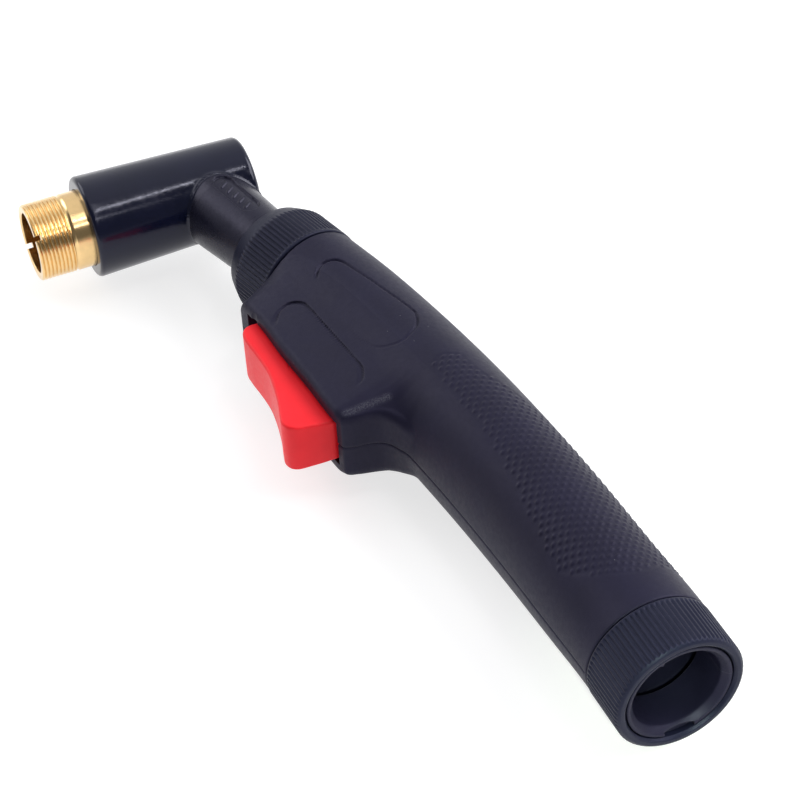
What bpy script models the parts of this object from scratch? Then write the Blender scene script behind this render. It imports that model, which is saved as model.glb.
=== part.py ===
# Hand torch body: split moulded handle, trigger and micro switch, neck and
# head with a brass front body, and the two ribbed ring nuts that clamp it.
#
# The torch lies flat on its side.  +X runs along the handle towards the cable
# end, -Y is the side of the trigger and of the nozzle, +Z is up and is the
# normal of the plane in which the two handle halves meet.
# The geometry is laid out around the rear ring nut (centre of its rear face,
# "layout frame", millimetres) and moved to the bottom centre of the whole
# object's box at the end.

import math

import bmesh
import bpy
from mathutils import Matrix, Vector

MM = 0.001
NAME = "torch_handle_with_head"

# ---------------------------------------------------------------- dimensions
# layout frame -> object frame
SHIFT = Vector((109.88, 28.74, 17.15))

GAP = 0.30                      # clearance between neighbouring parts

# grip: x of station, centre y, half height in the split plane, half width
GRIP = (
    (-158.9, -15.35, 14.60, 14.60),
    (-142.0, -11.80, 15.10, 15.00),
    (-120.0, -8.20, 15.30, 15.70),
    (-98.0, -5.40, 15.20, 16.80),
    (-77.0, -3.35, 15.00, 17.20),
    (-56.0, -1.90, 14.90, 16.90),
    (-34.0, -0.90, 14.90, 15.90),
    (-13.4, 0.00, 15.05, 15.05),
)
WALL = 2.3                      # shell wall
SPIGOT_FRONT_R = 12.3
SPIGOT_FRONT_LEN = 10.6
SPIGOT_FRONT_BORE = 9.6
SPIGOT_REAR_R = 12.5
SPIGOT_REAR_END = 0.0
SPIGOT_REAR_BORE = 10.4

# front axis: the ring nut, neck and collar share it
RING_C = Vector((-158.9, -15.35, 0.0))
TILT = math.radians(13.75)
FWD = Vector((-math.cos(TILT), -math.sin(TILT), 0.0))

# front ring nut, along FWD from its rear face
FRING_R = 14.84
FRING_RIB_END = 11.1
FRING_LEN = 16.4
FRING_LIP_R = 12.4
FRING_BORE = 12.6
FRING_HOLE = 10.2
FRING_RIBS = 77
RIB_DEPTH = 0.45

# rear ring nut, along X
RRING_R = 15.2
RRING_FRONT = -13.1
RRING_BACK = 0.5
RRING_BORE = 12.8
RRING_RIBS = 78

# neck and head
NECK_R = 9.2
NECK_R_HEAD = 10.1
NECK_INSIDE = 14.0
COLLAR_R = 11.4
HEAD_F = Vector((-207.0, -58.0, 0.0))
HEAD_DIR = Vector((-0.0295, -0.9996, 0.0)).normalized()
HEAD_LEN = 44.5
HEAD_R_FRONT = 13.3
HEAD_R_BACK = 11.8
HEAD_ROUND = 1.4

# brass front body
BRASS_R = 10.0
BRASS_OUT = 14.4
BRASS_BORE = 7.85
BRASS_SHANK_R = 8.5
BRASS_SHANK_LEN = 18.0
SLOT_W = 1.3
SLOT_D = 1.6
SLOT_DIR = Vector((0.743, -0.022, 0.669)).normalized()

# trigger
TRIG_HALF = 6.0                # half width at the housing line
TRIG_LINE = -33.0
TRIG_DRAFT = 0.08               # widening per millimetre below that line
PIVOT = Vector((-138.5, -31.5, 0.0))
PIN_R = 1.5
PIN_HALF = 9.1
POCKET_HALF = 6.6
POCKET_X0 = -148.2
POCKET_X1 = -102.4

# micro switch
SW_X0, SW_X1 = -129.0, -109.0
SW_Y0, SW_Y1 = -24.9, -14.9
SW_HALF = 3.2
LEVER_PIVOT = Vector((-127.5, -25.6, 0.0))
LEVER_ANGLE = math.radians(9.6)
LEVER_LEN = 18.0
PLUNGER_X = -121.0

# ------------------------------------------------------------------- helpers
for old in list(bpy.data.objects):
    bpy.data.objects.remove(old, do_unlink=True)

parts = bpy.data.collections.new(NAME)
cutters = bpy.data.collections.new("cutters")
bpy.context.scene.collection.children.link(parts)
bpy.context.scene.collection.children.link(cutters)


def material(name, colour, rough, metal=0.0):
    mat = bpy.data.materials.new(name)
    mat.use_nodes = True
    bsdf = mat.node_tree.nodes["Principled BSDF"]
    bsdf.inputs["Base Color"].default_value = (*colour, 1.0)
    bsdf.inputs["Roughness"].default_value = rough
    bsdf.inputs["Metallic"].default_value = metal
    mat.diffuse_color = (*colour, 1.0)
    return mat


BLACK = (0.022, 0.022, 0.03)


def to_metres(bm):
    """Layout millimetres -> object metres."""
    bmesh.ops.translate(bm, verts=bm.verts, vec=SHIFT)
    bmesh.ops.scale(bm, verts=bm.verts, vec=(MM, MM, MM))


def at(p):
    """A layout point in object metres."""
    return (Vector(p) + SHIFT) * MM


def add_object(name, bm, mat=None, cutter=False, origin=None, smooth=True):
    """Link a bmesh given in layout millimetres as an object; its origin is put
    at the layout point 'origin' (the joint axis of a moving piece)."""
    bmesh.ops.recalc_face_normals(bm, faces=bm.faces)
    to_metres(bm)
    if origin is not None:
        o = at(origin)
        bmesh.ops.translate(bm, verts=bm.verts, vec=-o)
    mesh = bpy.data.meshes.new(name)
    bm.to_mesh(mesh)
    bm.free()
    obj = bpy.data.objects.new(name, mesh)
    if origin is not None:
        obj.location = o
    (cutters if cutter else parts).objects.link(obj)
    if cutter:
        obj.hide_render = True
        obj.display_type = "WIRE"
    if mat is not None:
        mesh.materials.append(mat)
    if smooth and not cutter:
        mesh.shade_smooth()
        mesh.set_sharp_from_angle(angle=math.radians(32))
    return obj


def axis_matrix(origin, direction, up=Vector((0, 0, 1))):
    """Matrix whose local Z lies along 'direction' and local X near 'up'."""
    z = Vector(direction).normalized()
    if abs(up.dot(z)) > 0.99:
        up = Vector((1, 0, 0))
    x = (up - z * up.dot(z)).normalized()
    y = z.cross(x)
    m = Matrix((x, y, z)).transposed().to_4x4()
    m.translation = Vector(origin)
    return m


def box(x0, x1, y0, y1, z0, z1):
    bm = bmesh.new()
    bmesh.ops.create_cube(bm, size=1.0)
    bmesh.ops.scale(bm, verts=bm.verts, vec=(x1 - x0, y1 - y0, z1 - z0))
    bmesh.ops.translate(bm, verts=bm.verts,
                        vec=((x0 + x1) / 2, (y0 + y1) / 2, (z0 + z1) / 2))
    return bm


def rod(p0, p1, r0, r1=None, seg=48):
    """Capped cylinder or cone from p0 to p1."""
    p0, p1 = Vector(p0), Vector(p1)
    bm = bmesh.new()
    bmesh.ops.create_cone(bm, cap_ends=True, cap_tris=False, segments=seg,
                          radius1=r0, radius2=r0 if r1 is None else r1,
                          depth=(p1 - p0).length)
    bmesh.ops.transform(bm, verts=bm.verts,
                        matrix=axis_matrix((p0 + p1) / 2, p1 - p0))
    return bm


def turned(profile, origin, direction, seg=48):
    """Closed ring or solid turned from (radius, distance) points around an
    axis.  Points with radius 0 close the shape on the axis."""
    bm = bmesh.new()
    verts = [bm.verts.new((r, 0.0, z)) for r, z in profile]
    closed = profile[0][0] > 0 and profile[-1][0] > 0
    edges = [bm.edges.new((a, b)) for a, b in zip(verts, verts[1:])]
    if closed:
        edges.append(bm.edges.new((verts[-1], verts[0])))
    bmesh.ops.spin(bm, geom=verts + edges, cent=(0, 0, 0), axis=(0, 0, 1),
                   angle=2 * math.pi, steps=seg, use_merge=True)
    bmesh.ops.remove_doubles(bm, verts=bm.verts, dist=1e-4)
    bmesh.ops.transform(bm, verts=bm.verts,
                        matrix=axis_matrix(origin, direction))
    return bm


def loft(sections):
    """Closed loft through equal-length rings of points, capped at both ends."""
    bm = bmesh.new()
    rings = [[bm.verts.new(p) for p in sec] for sec in sections]
    n = len(rings[0])
    for a, b in zip(rings, rings[1:]):
        for i in range(n):
            j = (i + 1) % n
            bm.faces.new((a[i], a[j], b[j], b[i]))
    bm.faces.new(rings[0][::-1])
    bm.faces.new(rings[-1])
    return bm


def prism(outline, z0, z1):
    """Flat outline in XY extruded from z0 to z1."""
    return loft([[Vector((x, y, z0)) for x, y in outline],
                 [Vector((x, y, z1)) for x, y in outline]])


def boolean(obj, tool, operation):
    mod = obj.modifiers.new(operation.lower(), "BOOLEAN")
    mod.object = tool
    mod.operation = operation
    mod.solver = "EXACT"
    return mod


def bevel(obj, width, segments=2, angle=35):
    mod = obj.modifiers.new("bevel", "BEVEL")
    mod.width = width * MM
    mod.segments = segments
    mod.limit_method = "ANGLE"
    mod.angle_limit = math.radians(angle)
    mod.use_clamp_overlap = True
    return mod


def cut(obj, name, bm, operation="DIFFERENCE"):
    return boolean(obj, add_object(name, bm, cutter=True), operation)


def tube(name, points, radius, mat, sides=2):
    """Round wire along points: a POLY curve with capped ends."""
    curve = bpy.data.curves.new(name, "CURVE")
    curve.dimensions = "3D"
    curve.bevel_depth = radius * MM
    curve.bevel_resolution = sides
    curve.use_fill_caps = True
    spline = curve.splines.new("POLY")
    spline.points.add(len(points) - 1)
    for sp, p in zip(spline.points, points):
        sp.co = (*at(p), 1.0)
    obj = bpy.data.objects.new(name, curve)
    parts.objects.link(obj)
    curve.materials.append(mat)
    return obj


def smooth_route(knots, steps):
    """Catmull-Rom curve through the knots."""
    pts = [Vector(k) for k in knots]
    pts = [pts[0] * 2 - pts[1]] + pts + [pts[-1] * 2 - pts[-2]]
    out = []
    for i in range(1, len(pts) - 2):
        p0, p1, p2, p3 = pts[i - 1:i + 3]
        for k in range(steps):
            t = k / steps
            out.append(0.5 * ((2 * p1) + (p2 - p0) * t
                              + (2 * p0 - 5 * p1 + 4 * p2 - p3) * t * t
                              + (3 * p1 - p0 - 3 * p2 + p3) * t ** 3))
    out.append(pts[-2])
    return out


# ------------------------------------------------------------ grip geometry
def grip_at(x):
    """Centre, slope angle and half sizes of the grip at a station x, read from
    a cubic through the GRIP table."""
    tab = GRIP
    n = len(tab)

    def slope(i, k):
        if i == 0:
            return math.tan(TILT) if k == 1 else 0.0
        if i == n - 1:
            return 0.0
        return (tab[i + 1][k] - tab[i - 1][k]) / (tab[i + 1][0] - tab[i - 1][0])

    x = min(max(x, tab[0][0]), tab[-1][0])
    i = max(j for j in range(n - 1) if tab[j][0] <= x + 1e-9)
    x0, x1 = tab[i][0], tab[i + 1][0]
    h = x1 - x0
    t = (x - x0) / h
    vals = []
    dydx = 0.0
    for k in (1, 2, 3):
        m0, m1 = slope(i, k) * h, slope(i + 1, k) * h
        p0, p1 = tab[i][k], tab[i + 1][k]
        vals.append((2 * t ** 3 - 3 * t ** 2 + 1) * p0 + (t ** 3 - 2 * t ** 2 + t) * m0
                    + (-2 * t ** 3 + 3 * t ** 2) * p1 + (t ** 3 - t ** 2) * m1)
        if k == 1:
            dydx = ((6 * t ** 2 - 6 * t) * p0 + (3 * t ** 2 - 4 * t + 1) * m0
                    + (-6 * t ** 2 + 6 * t) * p1 + (3 * t ** 2 - 2 * t) * m1) / h
    return Vector((x, vals[0], 0.0)), math.atan(dydx), vals[1], vals[2]


def frame_point(c, ang, v, w, s=0.0):
    """Point v below the centre line, w to the side, s forward of the plane."""
    fwd = Vector((-math.cos(ang), -math.sin(ang), 0.0))
    down = Vector((math.sin(ang), -math.cos(ang), 0.0))
    return c + fwd * s + down * v + Vector((0, 0, w))


def ellipse_section(x, a, b, s=0.0, n=44):
    c, ang, _, _ = grip_at(x)
    return [frame_point(c, ang, a * math.cos(2 * math.pi * (i + 0.5) / n),
                        b * math.sin(2 * math.pi * (i + 0.5) / n), s)
            for i in range(n)]


X_FRONT, X_REAR = GRIP[0][0], GRIP[-1][0]
STATIONS = [-154.0, -148.0, -142.0, -134.0, -126.0, -117.0, -108.0, -99.0,
            -90.0, -81.0, -72.0, -62.0, -52.0, -42.0, -32.0, -22.0]


def grip_solid():
    """Outer form of the closed handle with both threaded ends."""
    secs = [ellipse_section(X_FRONT, SPIGOT_FRONT_R - 0.6, SPIGOT_FRONT_R - 0.6,
                            SPIGOT_FRONT_LEN),
            ellipse_section(X_FRONT, SPIGOT_FRONT_R, SPIGOT_FRONT_R,
                            SPIGOT_FRONT_LEN - 0.8),
            ellipse_section(X_FRONT, SPIGOT_FRONT_R, SPIGOT_FRONT_R, -GAP),
            ellipse_section(X_FRONT, 14.2, 14.2, -GAP),
            ellipse_section(X_FRONT, 14.6, 14.6, -GAP - 0.5)]
    for x in STATIONS:
        _, _, a, b = grip_at(x)
        secs.append(ellipse_section(x, a, b))
    secs += [ellipse_section(X_REAR, 15.0, 15.0, 0.4),
             ellipse_section(X_REAR, 14.6, 14.6, 0.0),
             ellipse_section(X_REAR, SPIGOT_REAR_R, SPIGOT_REAR_R, 0.0),
             ellipse_section(X_REAR, SPIGOT_REAR_R, SPIGOT_REAR_R,
                             X_REAR - SPIGOT_REAR_END + 0.3),
             ellipse_section(X_REAR, SPIGOT_REAR_R - 0.3, SPIGOT_REAR_R - 0.3,
                             X_REAR - SPIGOT_REAR_END)]
    return loft(secs)


def grip_hollow():
    """Inner space of the closed handle, open at both ends."""
    rf, rr = SPIGOT_FRONT_BORE, SPIGOT_REAR_BORE
    secs = [ellipse_section(X_FRONT, rf, rf, SPIGOT_FRONT_LEN + 2.0),
            ellipse_section(X_FRONT, rf, rf, -12.6),
            ellipse_section(X_FRONT, 12.0, 12.0, -12.9)]
    for x in STATIONS[3:]:
        _, _, a, b = grip_at(x)
        secs.append(ellipse_section(x, a - WALL, b - WALL))
    secs += [ellipse_section(X_REAR, 12.2, 12.2, -3.2),
             ellipse_section(X_REAR, rr, rr, -2.6),
             ellipse_section(X_REAR, rr, rr, X_REAR - SPIGOT_REAR_END + 1.4),
             ellipse_section(X_REAR, rr + 1.6, rr + 1.6,
                             X_REAR - SPIGOT_REAR_END - 0.4)]
    return loft(secs)


def housing_section(x, v_bot, w_bot, r, v_top, w_top, s=0.0, n_arc=4):
    """Section of the trigger housing below the grip: flat bottom, rounded
    corners and sides that spread up into the grip."""
    c, ang, _, _ = grip_at(x)
    half = [(v_bot, w_bot * 0.45)]
    for k in range(n_arc + 1):
        t = math.pi / 2 * k / n_arc
        half.append((v_bot - r + r * math.cos(t), w_bot - r + r * math.sin(t)))
    half.append((v_top * 0.45 + (v_bot - r) * 0.55, w_top * 0.45 + w_bot * 0.55))
    half.append((v_top, w_top))
    half.append((v_top, w_top * 0.4))
    pts = half + [(v, -w) for v, w in reversed(half)]
    return [frame_point(c, ang, v, w, s) for v, w in pts]


def housing_solid():
    """Trigger housing with the concave web that runs out on the belly."""
    secs = [housing_section(X_FRONT, 21.4, 5.6, 2.4, 7.5, 10.9, -GAP),
            housing_section(X_FRONT, 22.3, 7.4, 2.4, 6.5, 12.2, -2.2),
            housing_section(X_FRONT, 22.7, 8.9, 2.2, 5.5, 13.2, -5.5),
            housing_section(-146.0, 23.3, 9.8, 2.0, 4.5, 14.0),
            housing_section(-134.0, 24.9, 10.2, 2.0, 4.0, 14.4),
            housing_section(-120.0, 25.9, 10.3, 2.0, 4.0, 14.6),
            housing_section(-107.0, 26.8, 10.1, 2.0, 4.0, 14.8),
            housing_section(-104.0, 26.5, 9.6, 2.2, 4.0, 14.8),
            housing_section(-102.6, 24.6, 9.4, 2.4, 4.0, 14.8),
            housing_section(-101.4, 20.6, 9.8, 2.4, 4.0, 14.8),
            housing_section(-99.6, 17.8, 9.6, 2.4, 4.0, 14.8),
            housing_section(-96.0, 15.9, 8.8, 2.4, 4.0, 14.8),
            housing_section(-88.0, 14.6, 6.8, 2.4, 4.0, 14.6)]
    return loft(secs)


# ------------------------------------------------------------- handle shells
black_shell = material("handle_black", BLACK, 0.55)


def handle_shell(name, side):
    """One half of the handle; side is +1 for the half above the split plane."""
    obj = add_object(name, grip_solid(), black_shell)
    cut(obj, name + "_housing", housing_solid(), "UNION")
    cut(obj, name + "_hollow", grip_hollow())
    # groove for the collar of the neck
    cut(obj, name + "_groove",
        rod(RING_C + FWD * -4.7, RING_C + FWD * -9.3, COLLAR_R + GAP))
    # trigger pocket, up into the hollow grip
    cut(obj, name + "_pocket",
        box(POCKET_X0, POCKET_X1, -46.0, -24.0, -POCKET_HALF, POCKET_HALF))
    # shallow relief in the pocket's walls beside the trigger's front end
    cut(obj, name + "_relief",
        rod((-144.4, -37.6, -12.0), (-144.4, -37.6, 12.0), 2.3, seg=20))
    cut(obj, name + "_well",
        box(-142.5, -108.4, -25.0, -13.0, -POCKET_HALF, POCKET_HALF))
    # blind holes for the trigger pin
    cut(obj, name + "_pin_hole",
        rod(PIVOT + Vector((0, 0, -9.4)), PIVOT + Vector((0, 0, 9.4)),
            PIN_R + 0.25, seg=24))
    if side < 0:
        # two posts that carry the micro switch
        for i, x in enumerate(SCREW_X):
            cut(obj, name + "_post_%d" % i,
                rod((x, SCREW_Y, -3.5), (x, SCREW_Y, -12.3), 2.4, seg=20), "UNION")
            cut(obj, name + "_post_hole_%d" % i,
                rod((x, SCREW_Y, -3.0), (x, SCREW_Y, -9.2), 1.25, seg=16))
    # keep one side of the split plane
    if side > 0:
        cut(obj, name + "_split", box(-260, 60, -120, 80, -60, GAP / 2))
    else:
        cut(obj, name + "_split", box(-260, 60, -120, 80, -GAP / 2, 60))
    return obj


SCREW_X = (-125.0, -113.0)
SCREW_Y = -17.6

handle_shell("handle_shell_left", 1)
handle_shell("handle_shell_right", -1)


# ------------------------------------------------------------------ ring nuts
def ribbed_nut(name, profile, rib_rows, origin, direction, ribs, mat):
    """Turned ring with axial ribs: in the ribbed rows every other column of
    points is sunk by the rib depth."""
    seg = ribs * 2
    bm = turned(profile, (0, 0, 0), (0, 0, 1), seg)
    z0, z1, r_min = rib_rows
    for v in bm.verts:
        r = math.hypot(v.co.x, v.co.y)
        if z0 - 1e-4 <= v.co.z <= z1 + 1e-4 and r > r_min:
            k = round(math.atan2(v.co.y, v.co.x) / (2 * math.pi / seg))
            if k % 2:
                f = (r - RIB_DEPTH) / r
                v.co.x *= f
                v.co.y *= f
    bmesh.ops.transform(bm, verts=bm.verts,
                        matrix=axis_matrix(origin, direction))
    return add_object(name, bm, mat, origin=origin)


nut_black = material("ring_black", (0.018, 0.018, 0.025), 0.5)

ribbed_nut("front_ring_nut",
           [(FRING_BORE, 0.0), (14.4, 0.0), (FRING_R, 0.5), (FRING_R, 1.4),
            (FRING_R, 10.8), (14.6, 11.3), (12.8, 16.0), (12.2, FRING_LEN),
            (FRING_HOLE, FRING_LEN), (FRING_HOLE, 14.2), (FRING_BORE, 11.4)],
           (1.4, 10.8, 14.0), RING_C, FWD, FRING_RIBS, nut_black)

ribbed_nut("rear_ring_nut",
           [(RRING_BORE, RRING_FRONT), (14.6, RRING_FRONT),
            (RRING_R, RRING_FRONT + 0.5), (RRING_R, -12.3),
            (RRING_R, -0.9), (14.9, -0.2), (14.2, RRING_BACK),
            (13.3, RRING_BACK), (RRING_BORE, 0.0)],
           (-12.3, -0.9, 14.0), (0, 0, 0), (1, 0, 0), RRING_RIBS, nut_black)

# ---------------------------------------------------------------- head, neck
head_black = material("head_black", (0.010, 0.011, 0.018), 0.18)


def head_point(u, off=(0, 0, 0)):
    """Point on the head axis, u millimetres in front of the front face."""
    return HEAD_F + HEAD_DIR * u + Vector(off)


NECK_X = (RING_C + FWD * 48.6)      # where neck and head axes cross

head = add_object("head_body", turned(
    [(0, -HEAD_LEN), (HEAD_R_BACK - HEAD_ROUND, -HEAD_LEN),
     (HEAD_R_BACK - 0.41 * HEAD_ROUND, -HEAD_LEN + 0.41 * HEAD_ROUND),
     (HEAD_R_BACK, -HEAD_LEN + HEAD_ROUND),
     (HEAD_R_FRONT, -0.9), (HEAD_R_FRONT - 0.3, -0.25), (HEAD_R_FRONT - 0.9, 0.0),
     (0, 0.0)], HEAD_F, HEAD_DIR, 44), head_black)
cut(head, "neck_form", turned(
    [(0, -NECK_INSIDE), (NECK_R - 0.6, -NECK_INSIDE), (NECK_R, -NECK_INSIDE + 0.6),
     (NECK_R, 16.4), (NECK_R + 0.25, 24.0), (NECK_R_HEAD, 38.0),
     (NECK_R_HEAD, 44.0), (0, 44.0)], RING_C, FWD, 36), "UNION")
cut(head, "neck_collar", rod(RING_C + FWD * -5.0, RING_C + FWD * -9.0, COLLAR_R, seg=36),
    "UNION")
cut(head, "head_mouth", rod(head_point(2.0), head_point(-1.7), BRASS_R + 0.35, seg=44))
cut(head, "head_bore", rod(head_point(1.0), head_point(-BRASS_SHANK_LEN - 0.6),
                           BRASS_SHANK_R + GAP, seg=44))
cut(head, "head_core", rod(head_point(-10.0), head_point(-37.0), 5.6, seg=28))
cut(head, "neck_bore", rod(RING_C + FWD * -20.0, NECK_X, 3.3, seg=24))
cut(head, "pilot_hole", rod(RING_C + FWD * -20.0 + Vector((0, 0, 6.1)),
                            RING_C + FWD * -9.5 + Vector((0, 0, 6.1)), 1.6, seg=20))

# ------------------------------------------------------------- brass and core
brass = material("brass", (0.78, 0.52, 0.20), 0.24, 1.0)

front = add_object("front_body", turned(
    [(BRASS_BORE, BRASS_OUT - 0.3), (BRASS_BORE + 0.3, BRASS_OUT),
     (BRASS_R - 0.5, BRASS_OUT), (BRASS_R, BRASS_OUT - 0.5),
     (BRASS_R, 5.4), (BRASS_R - 0.35, 5.1), (BRASS_R - 0.35, 4.7),
     (BRASS_R, 4.4), (BRASS_R, -1.4), (BRASS_SHANK_R, -1.4),
     (BRASS_SHANK_R, -BRASS_SHANK_LEN), (6.0, -BRASS_SHANK_LEN), (6.0, -3.0),
     (BRASS_BORE, -1.6)], HEAD_F, HEAD_DIR, 44), brass)
slot_side = HEAD_DIR.cross(SLOT_DIR).normalized()
slot_bm = bmesh.new()
bmesh.ops.create_cube(slot_bm, size=1.0)
bmesh.ops.scale(slot_bm, verts=slot_bm.verts, vec=(26.0, SLOT_W, 2 * SLOT_D))
slot_m = Matrix((SLOT_DIR, slot_side, HEAD_DIR)).transposed().to_4x4()
slot_m.translation = head_point(BRASS_OUT)
bmesh.ops.transform(slot_bm, verts=slot_bm.verts, matrix=slot_m)
cut(front, "spanner_slot", slot_bm)

insulator = material("insulator", (0.62, 0.60, 0.54), 0.6)
add_object("insulator_bush", turned(
    [(4.4, -3.4), (5.7, -3.4), (5.7, -BRASS_SHANK_LEN + 0.2),
     (4.4, -BRASS_SHANK_LEN + 0.2)], HEAD_F, HEAD_DIR, 28), insulator)

# stem that takes the electrode: threaded socket in front, closed behind
add_object("electrode_holder", turned(
    [(0, -25.6), (4.1, -25.6), (4.1, -2.6), (3.7, -2.2), (2.9, -2.2),
     (2.5, -2.6), (2.5, -14.0), (0, -15.0)], HEAD_F, HEAD_DIR, 24), brass)

copper = material("copper", (0.72, 0.33, 0.17), 0.3, 1.0)
tube_obj = add_object("gas_tube", turned(
    [(2.0, -31.0), (3.0, -31.0), (3.0, 44.2), (2.0, 44.2)], RING_C, FWD, 24), copper)

add_object("tube_connector", turned(
    [(1.9, -48.0), (4.4, -48.0), (5.0, -47.4), (5.0, -36.2), (4.3, -35.9),
     (4.3, -35.2), (5.6, -34.9), (5.6, -27.0), (5.1, -26.4), (3.3, -26.4),
     (3.3, -31.4), (1.9, -31.6)], RING_C, FWD, 24), brass)

sleeve = material("sleeve_black", (0.02, 0.02, 0.02), 0.6)
add_object("heat_shrink", turned(
    [(3.3, -25.9), (3.9, -25.9), (3.9, -14.6), (3.3, -14.6)], RING_C, FWD, 24), sleeve)

# pilot lead: from the neck's end face to a ring terminal in the grip
pilot_red = material("pilot_lead", (0.45, 0.05, 0.04), 0.5)
p0 = RING_C + FWD * -10.0 + Vector((0, 0, 6.1))
p1 = RING_C + FWD * -16.0 + Vector((0, 0, 6.1))
route = smooth_route([p0, p1, (-134.0, -8.2, 7.6), (-122.0, -5.6, 9.2),
                      (-110.0, -4.4, 9.8), (-100.3, -3.6, 9.8)], 3)
tube("pilot_wire", route, 1.2, pilot_red)

tinned = material("tinned", (0.75, 0.75, 0.76), 0.3, 1.0)
lug = add_object("pilot_terminal", rod((-100.0, -3.6, 9.8), (-94.5, -3.6, 9.8), 1.7,
                                       seg=20), tinned)
cut(lug, "lug_plate", prism([(-96.0, -5.2), (-92.0, -6.6), (-88.6, -6.2),
                             (-87.0, -3.6), (-88.6, -1.0), (-92.0, -0.6),
                             (-96.0, -2.0)], 9.3, 10.3), "UNION")
cut(lug, "lug_hole", rod((-90.4, -3.6, 7.0), (-90.4, -3.6, 13.0), 1.7, seg=20))

# -------------------------------------------------------------------- trigger
trigger_red = material("trigger_red", (0.85, 0.03, 0.04), 0.4)


# side view of the finger face, from the rounded front end to the rear toe
FINGER = ((-144.5, -36.8), (-144.1, -38.3), (-143.0, -39.5), (-141.2, -40.2),
          (-137.5, -40.35), (-134.0, -40.12), (-130.0, -39.95), (-126.5, -40.0),
          (-123.0, -40.45), (-118.5, -41.3), (-114.3, -42.35), (-110.6, -43.5),
          (-108.2, -44.05), (-106.2, -43.4), (-105.1, -42.0), (-104.7, -40.5))

trig_outline = (list(FINGER)
                + [(-104.0, -36.0), (-103.7, TRIG_LINE), (-103.7, -30.5),
                   (-134.0, -30.5), (-135.6, -28.6), (-137.4, -27.9),
                   (-139.6, -27.9), (-142.6, -28.8), (-144.2, -30.6),
                   (-144.5, TRIG_LINE)])
trig_bm = prism(trig_outline, -TRIG_HALF, TRIG_HALF)
for v in trig_bm.verts:
    v.co.z *= 1.0 + TRIG_DRAFT * max(0.0, TRIG_LINE - v.co.y) / TRIG_HALF
trig = add_object("trigger", trig_bm, trigger_red, origin=PIVOT)
bevel(trig, 0.9, 2, 50)
cut(trig, "trigger_boss", prism([(-112.4, -31.5), (-109.2, -31.5), (-109.2, -29.9),
                                 (-109.8, -29.35), (-111.8, -29.35),
                                 (-112.4, -29.9)], -2.4, 2.4), "UNION")
cut(trig, "trigger_bore", rod(PIVOT + Vector((0, 0, -12)), PIVOT + Vector((0, 0, 12)),
                              PIN_R + 0.25, seg=24))

steel = material("steel", (0.55, 0.56, 0.58), 0.28, 1.0)
pin = add_object("trigger_pin", rod(PIVOT + Vector((0, 0, -PIN_HALF)),
                                    PIVOT + Vector((0, 0, PIN_HALF)), PIN_R, seg=24),
                 steel)
bevel(pin, 0.3, 1, 60)

# return spring between the trigger and the bridge in the housing
SPRING_X, SPRING_Y0, SPRING_Y1 = -106.0, -30.2, -24.3
coil = []
turns, per = 4.0, 9
for k in range(int(turns * per) + 1):
    a = 2 * math.pi * k / per
    h = k / (turns * per)
    coil.append((SPRING_X + 1.9 * math.cos(a),
                 SPRING_Y0 + 0.35 + (SPRING_Y1 - SPRING_Y0 - 0.7) * h,
                 1.9 * math.sin(a)))
tube("trigger_spring", coil, 0.28, steel, 1)

# --------------------------------------------------------------- micro switch
switch_grey = material("switch_body", (0.05, 0.05, 0.055), 0.5)
cover_grey = material("switch_cover", (0.10, 0.10, 0.11), 0.45)
button_red = material("switch_button", (0.6, 0.08, 0.05), 0.45)


def switch_holes(obj, tag):
    for i, x in enumerate(SCREW_X):
        cut(obj, "%s_hole_%d" % (tag, i),
            rod((x, SCREW_Y, -8), (x, SCREW_Y, 8), 1.4, seg=16))


case = add_object("switch_case", box(SW_X0, SW_X1, SW_Y0, SW_Y1, -SW_HALF, 1.9),
                  switch_grey)
bevel(case, 0.4, 1)
switch_holes(case, "case")
cut(case, "plunger_guide", box(PLUNGER_X - 1.3, PLUNGER_X + 1.3, -27.0, -20.4,
                               -1.3, 1.3))
for i, x in enumerate((-110.8, -116.0)):
    cut(case, "terminal_slot_%d" % i, box(x - 0.6, x + 0.6, -17.0, -12.0, -1.5, 1.0))
cover = add_object("switch_cover", box(SW_X0, SW_X1, SW_Y0, SW_Y1, 1.9 + 0.15, SW_HALF),
                   cover_grey)
bevel(cover, 0.3, 1)
switch_holes(cover, "cover")

plunger = add_object("switch_plunger", box(PLUNGER_X - 1.0, PLUNGER_X + 1.0, -26.1,
                                           -22.4, -1.0, 1.0), button_red,
                     origin=(PLUNGER_X, SW_Y0, 0))
bevel(plunger, 0.25, 1)

# spring lever: hinged at the front end of the case
ca, sa = math.cos(LEVER_ANGLE), math.sin(LEVER_ANGLE)


def lever_point(d, n):
    """d along the lever from its hinge, n on its upper side."""
    return (LEVER_PIVOT.x + d * ca + n * sa, LEVER_PIVOT.y - d * sa + n * ca)


lever_outline = [lever_point(-1.2, -0.2), lever_point(LEVER_LEN - 2.2, -0.2),
                 lever_point(LEVER_LEN - 1.1, -0.6), lever_point(LEVER_LEN, -0.2),
                 lever_point(LEVER_LEN, 0.15), lever_point(LEVER_LEN - 1.1, -0.2),
                 lever_point(LEVER_LEN - 2.2, 0.2), lever_point(-1.2, 0.2)]
add_object("switch_lever", prism(lever_outline, -2.0, 2.0), steel, origin=LEVER_PIVOT)

for i, x in enumerate((-110.8, -116.0)):
    t = add_object("switch_terminal_%d" % (i + 1),
                   box(x - 0.25, x + 0.25, -16.6, -12.3, -1.1, 0.6), tinned)

for i, x in enumerate(SCREW_X):
    add_object("switch_screw_%d" % (i + 1), turned(
        [(0, -8.6), (0.7, -8.6), (1.0, -8.2), (1.0, 3.5), (2.1, 3.5), (2.1, 4.4),
         (1.7, 5.0), (0, 5.0)], (x, SCREW_Y, 0), (0, 0, 1), 20), steel)

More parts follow.
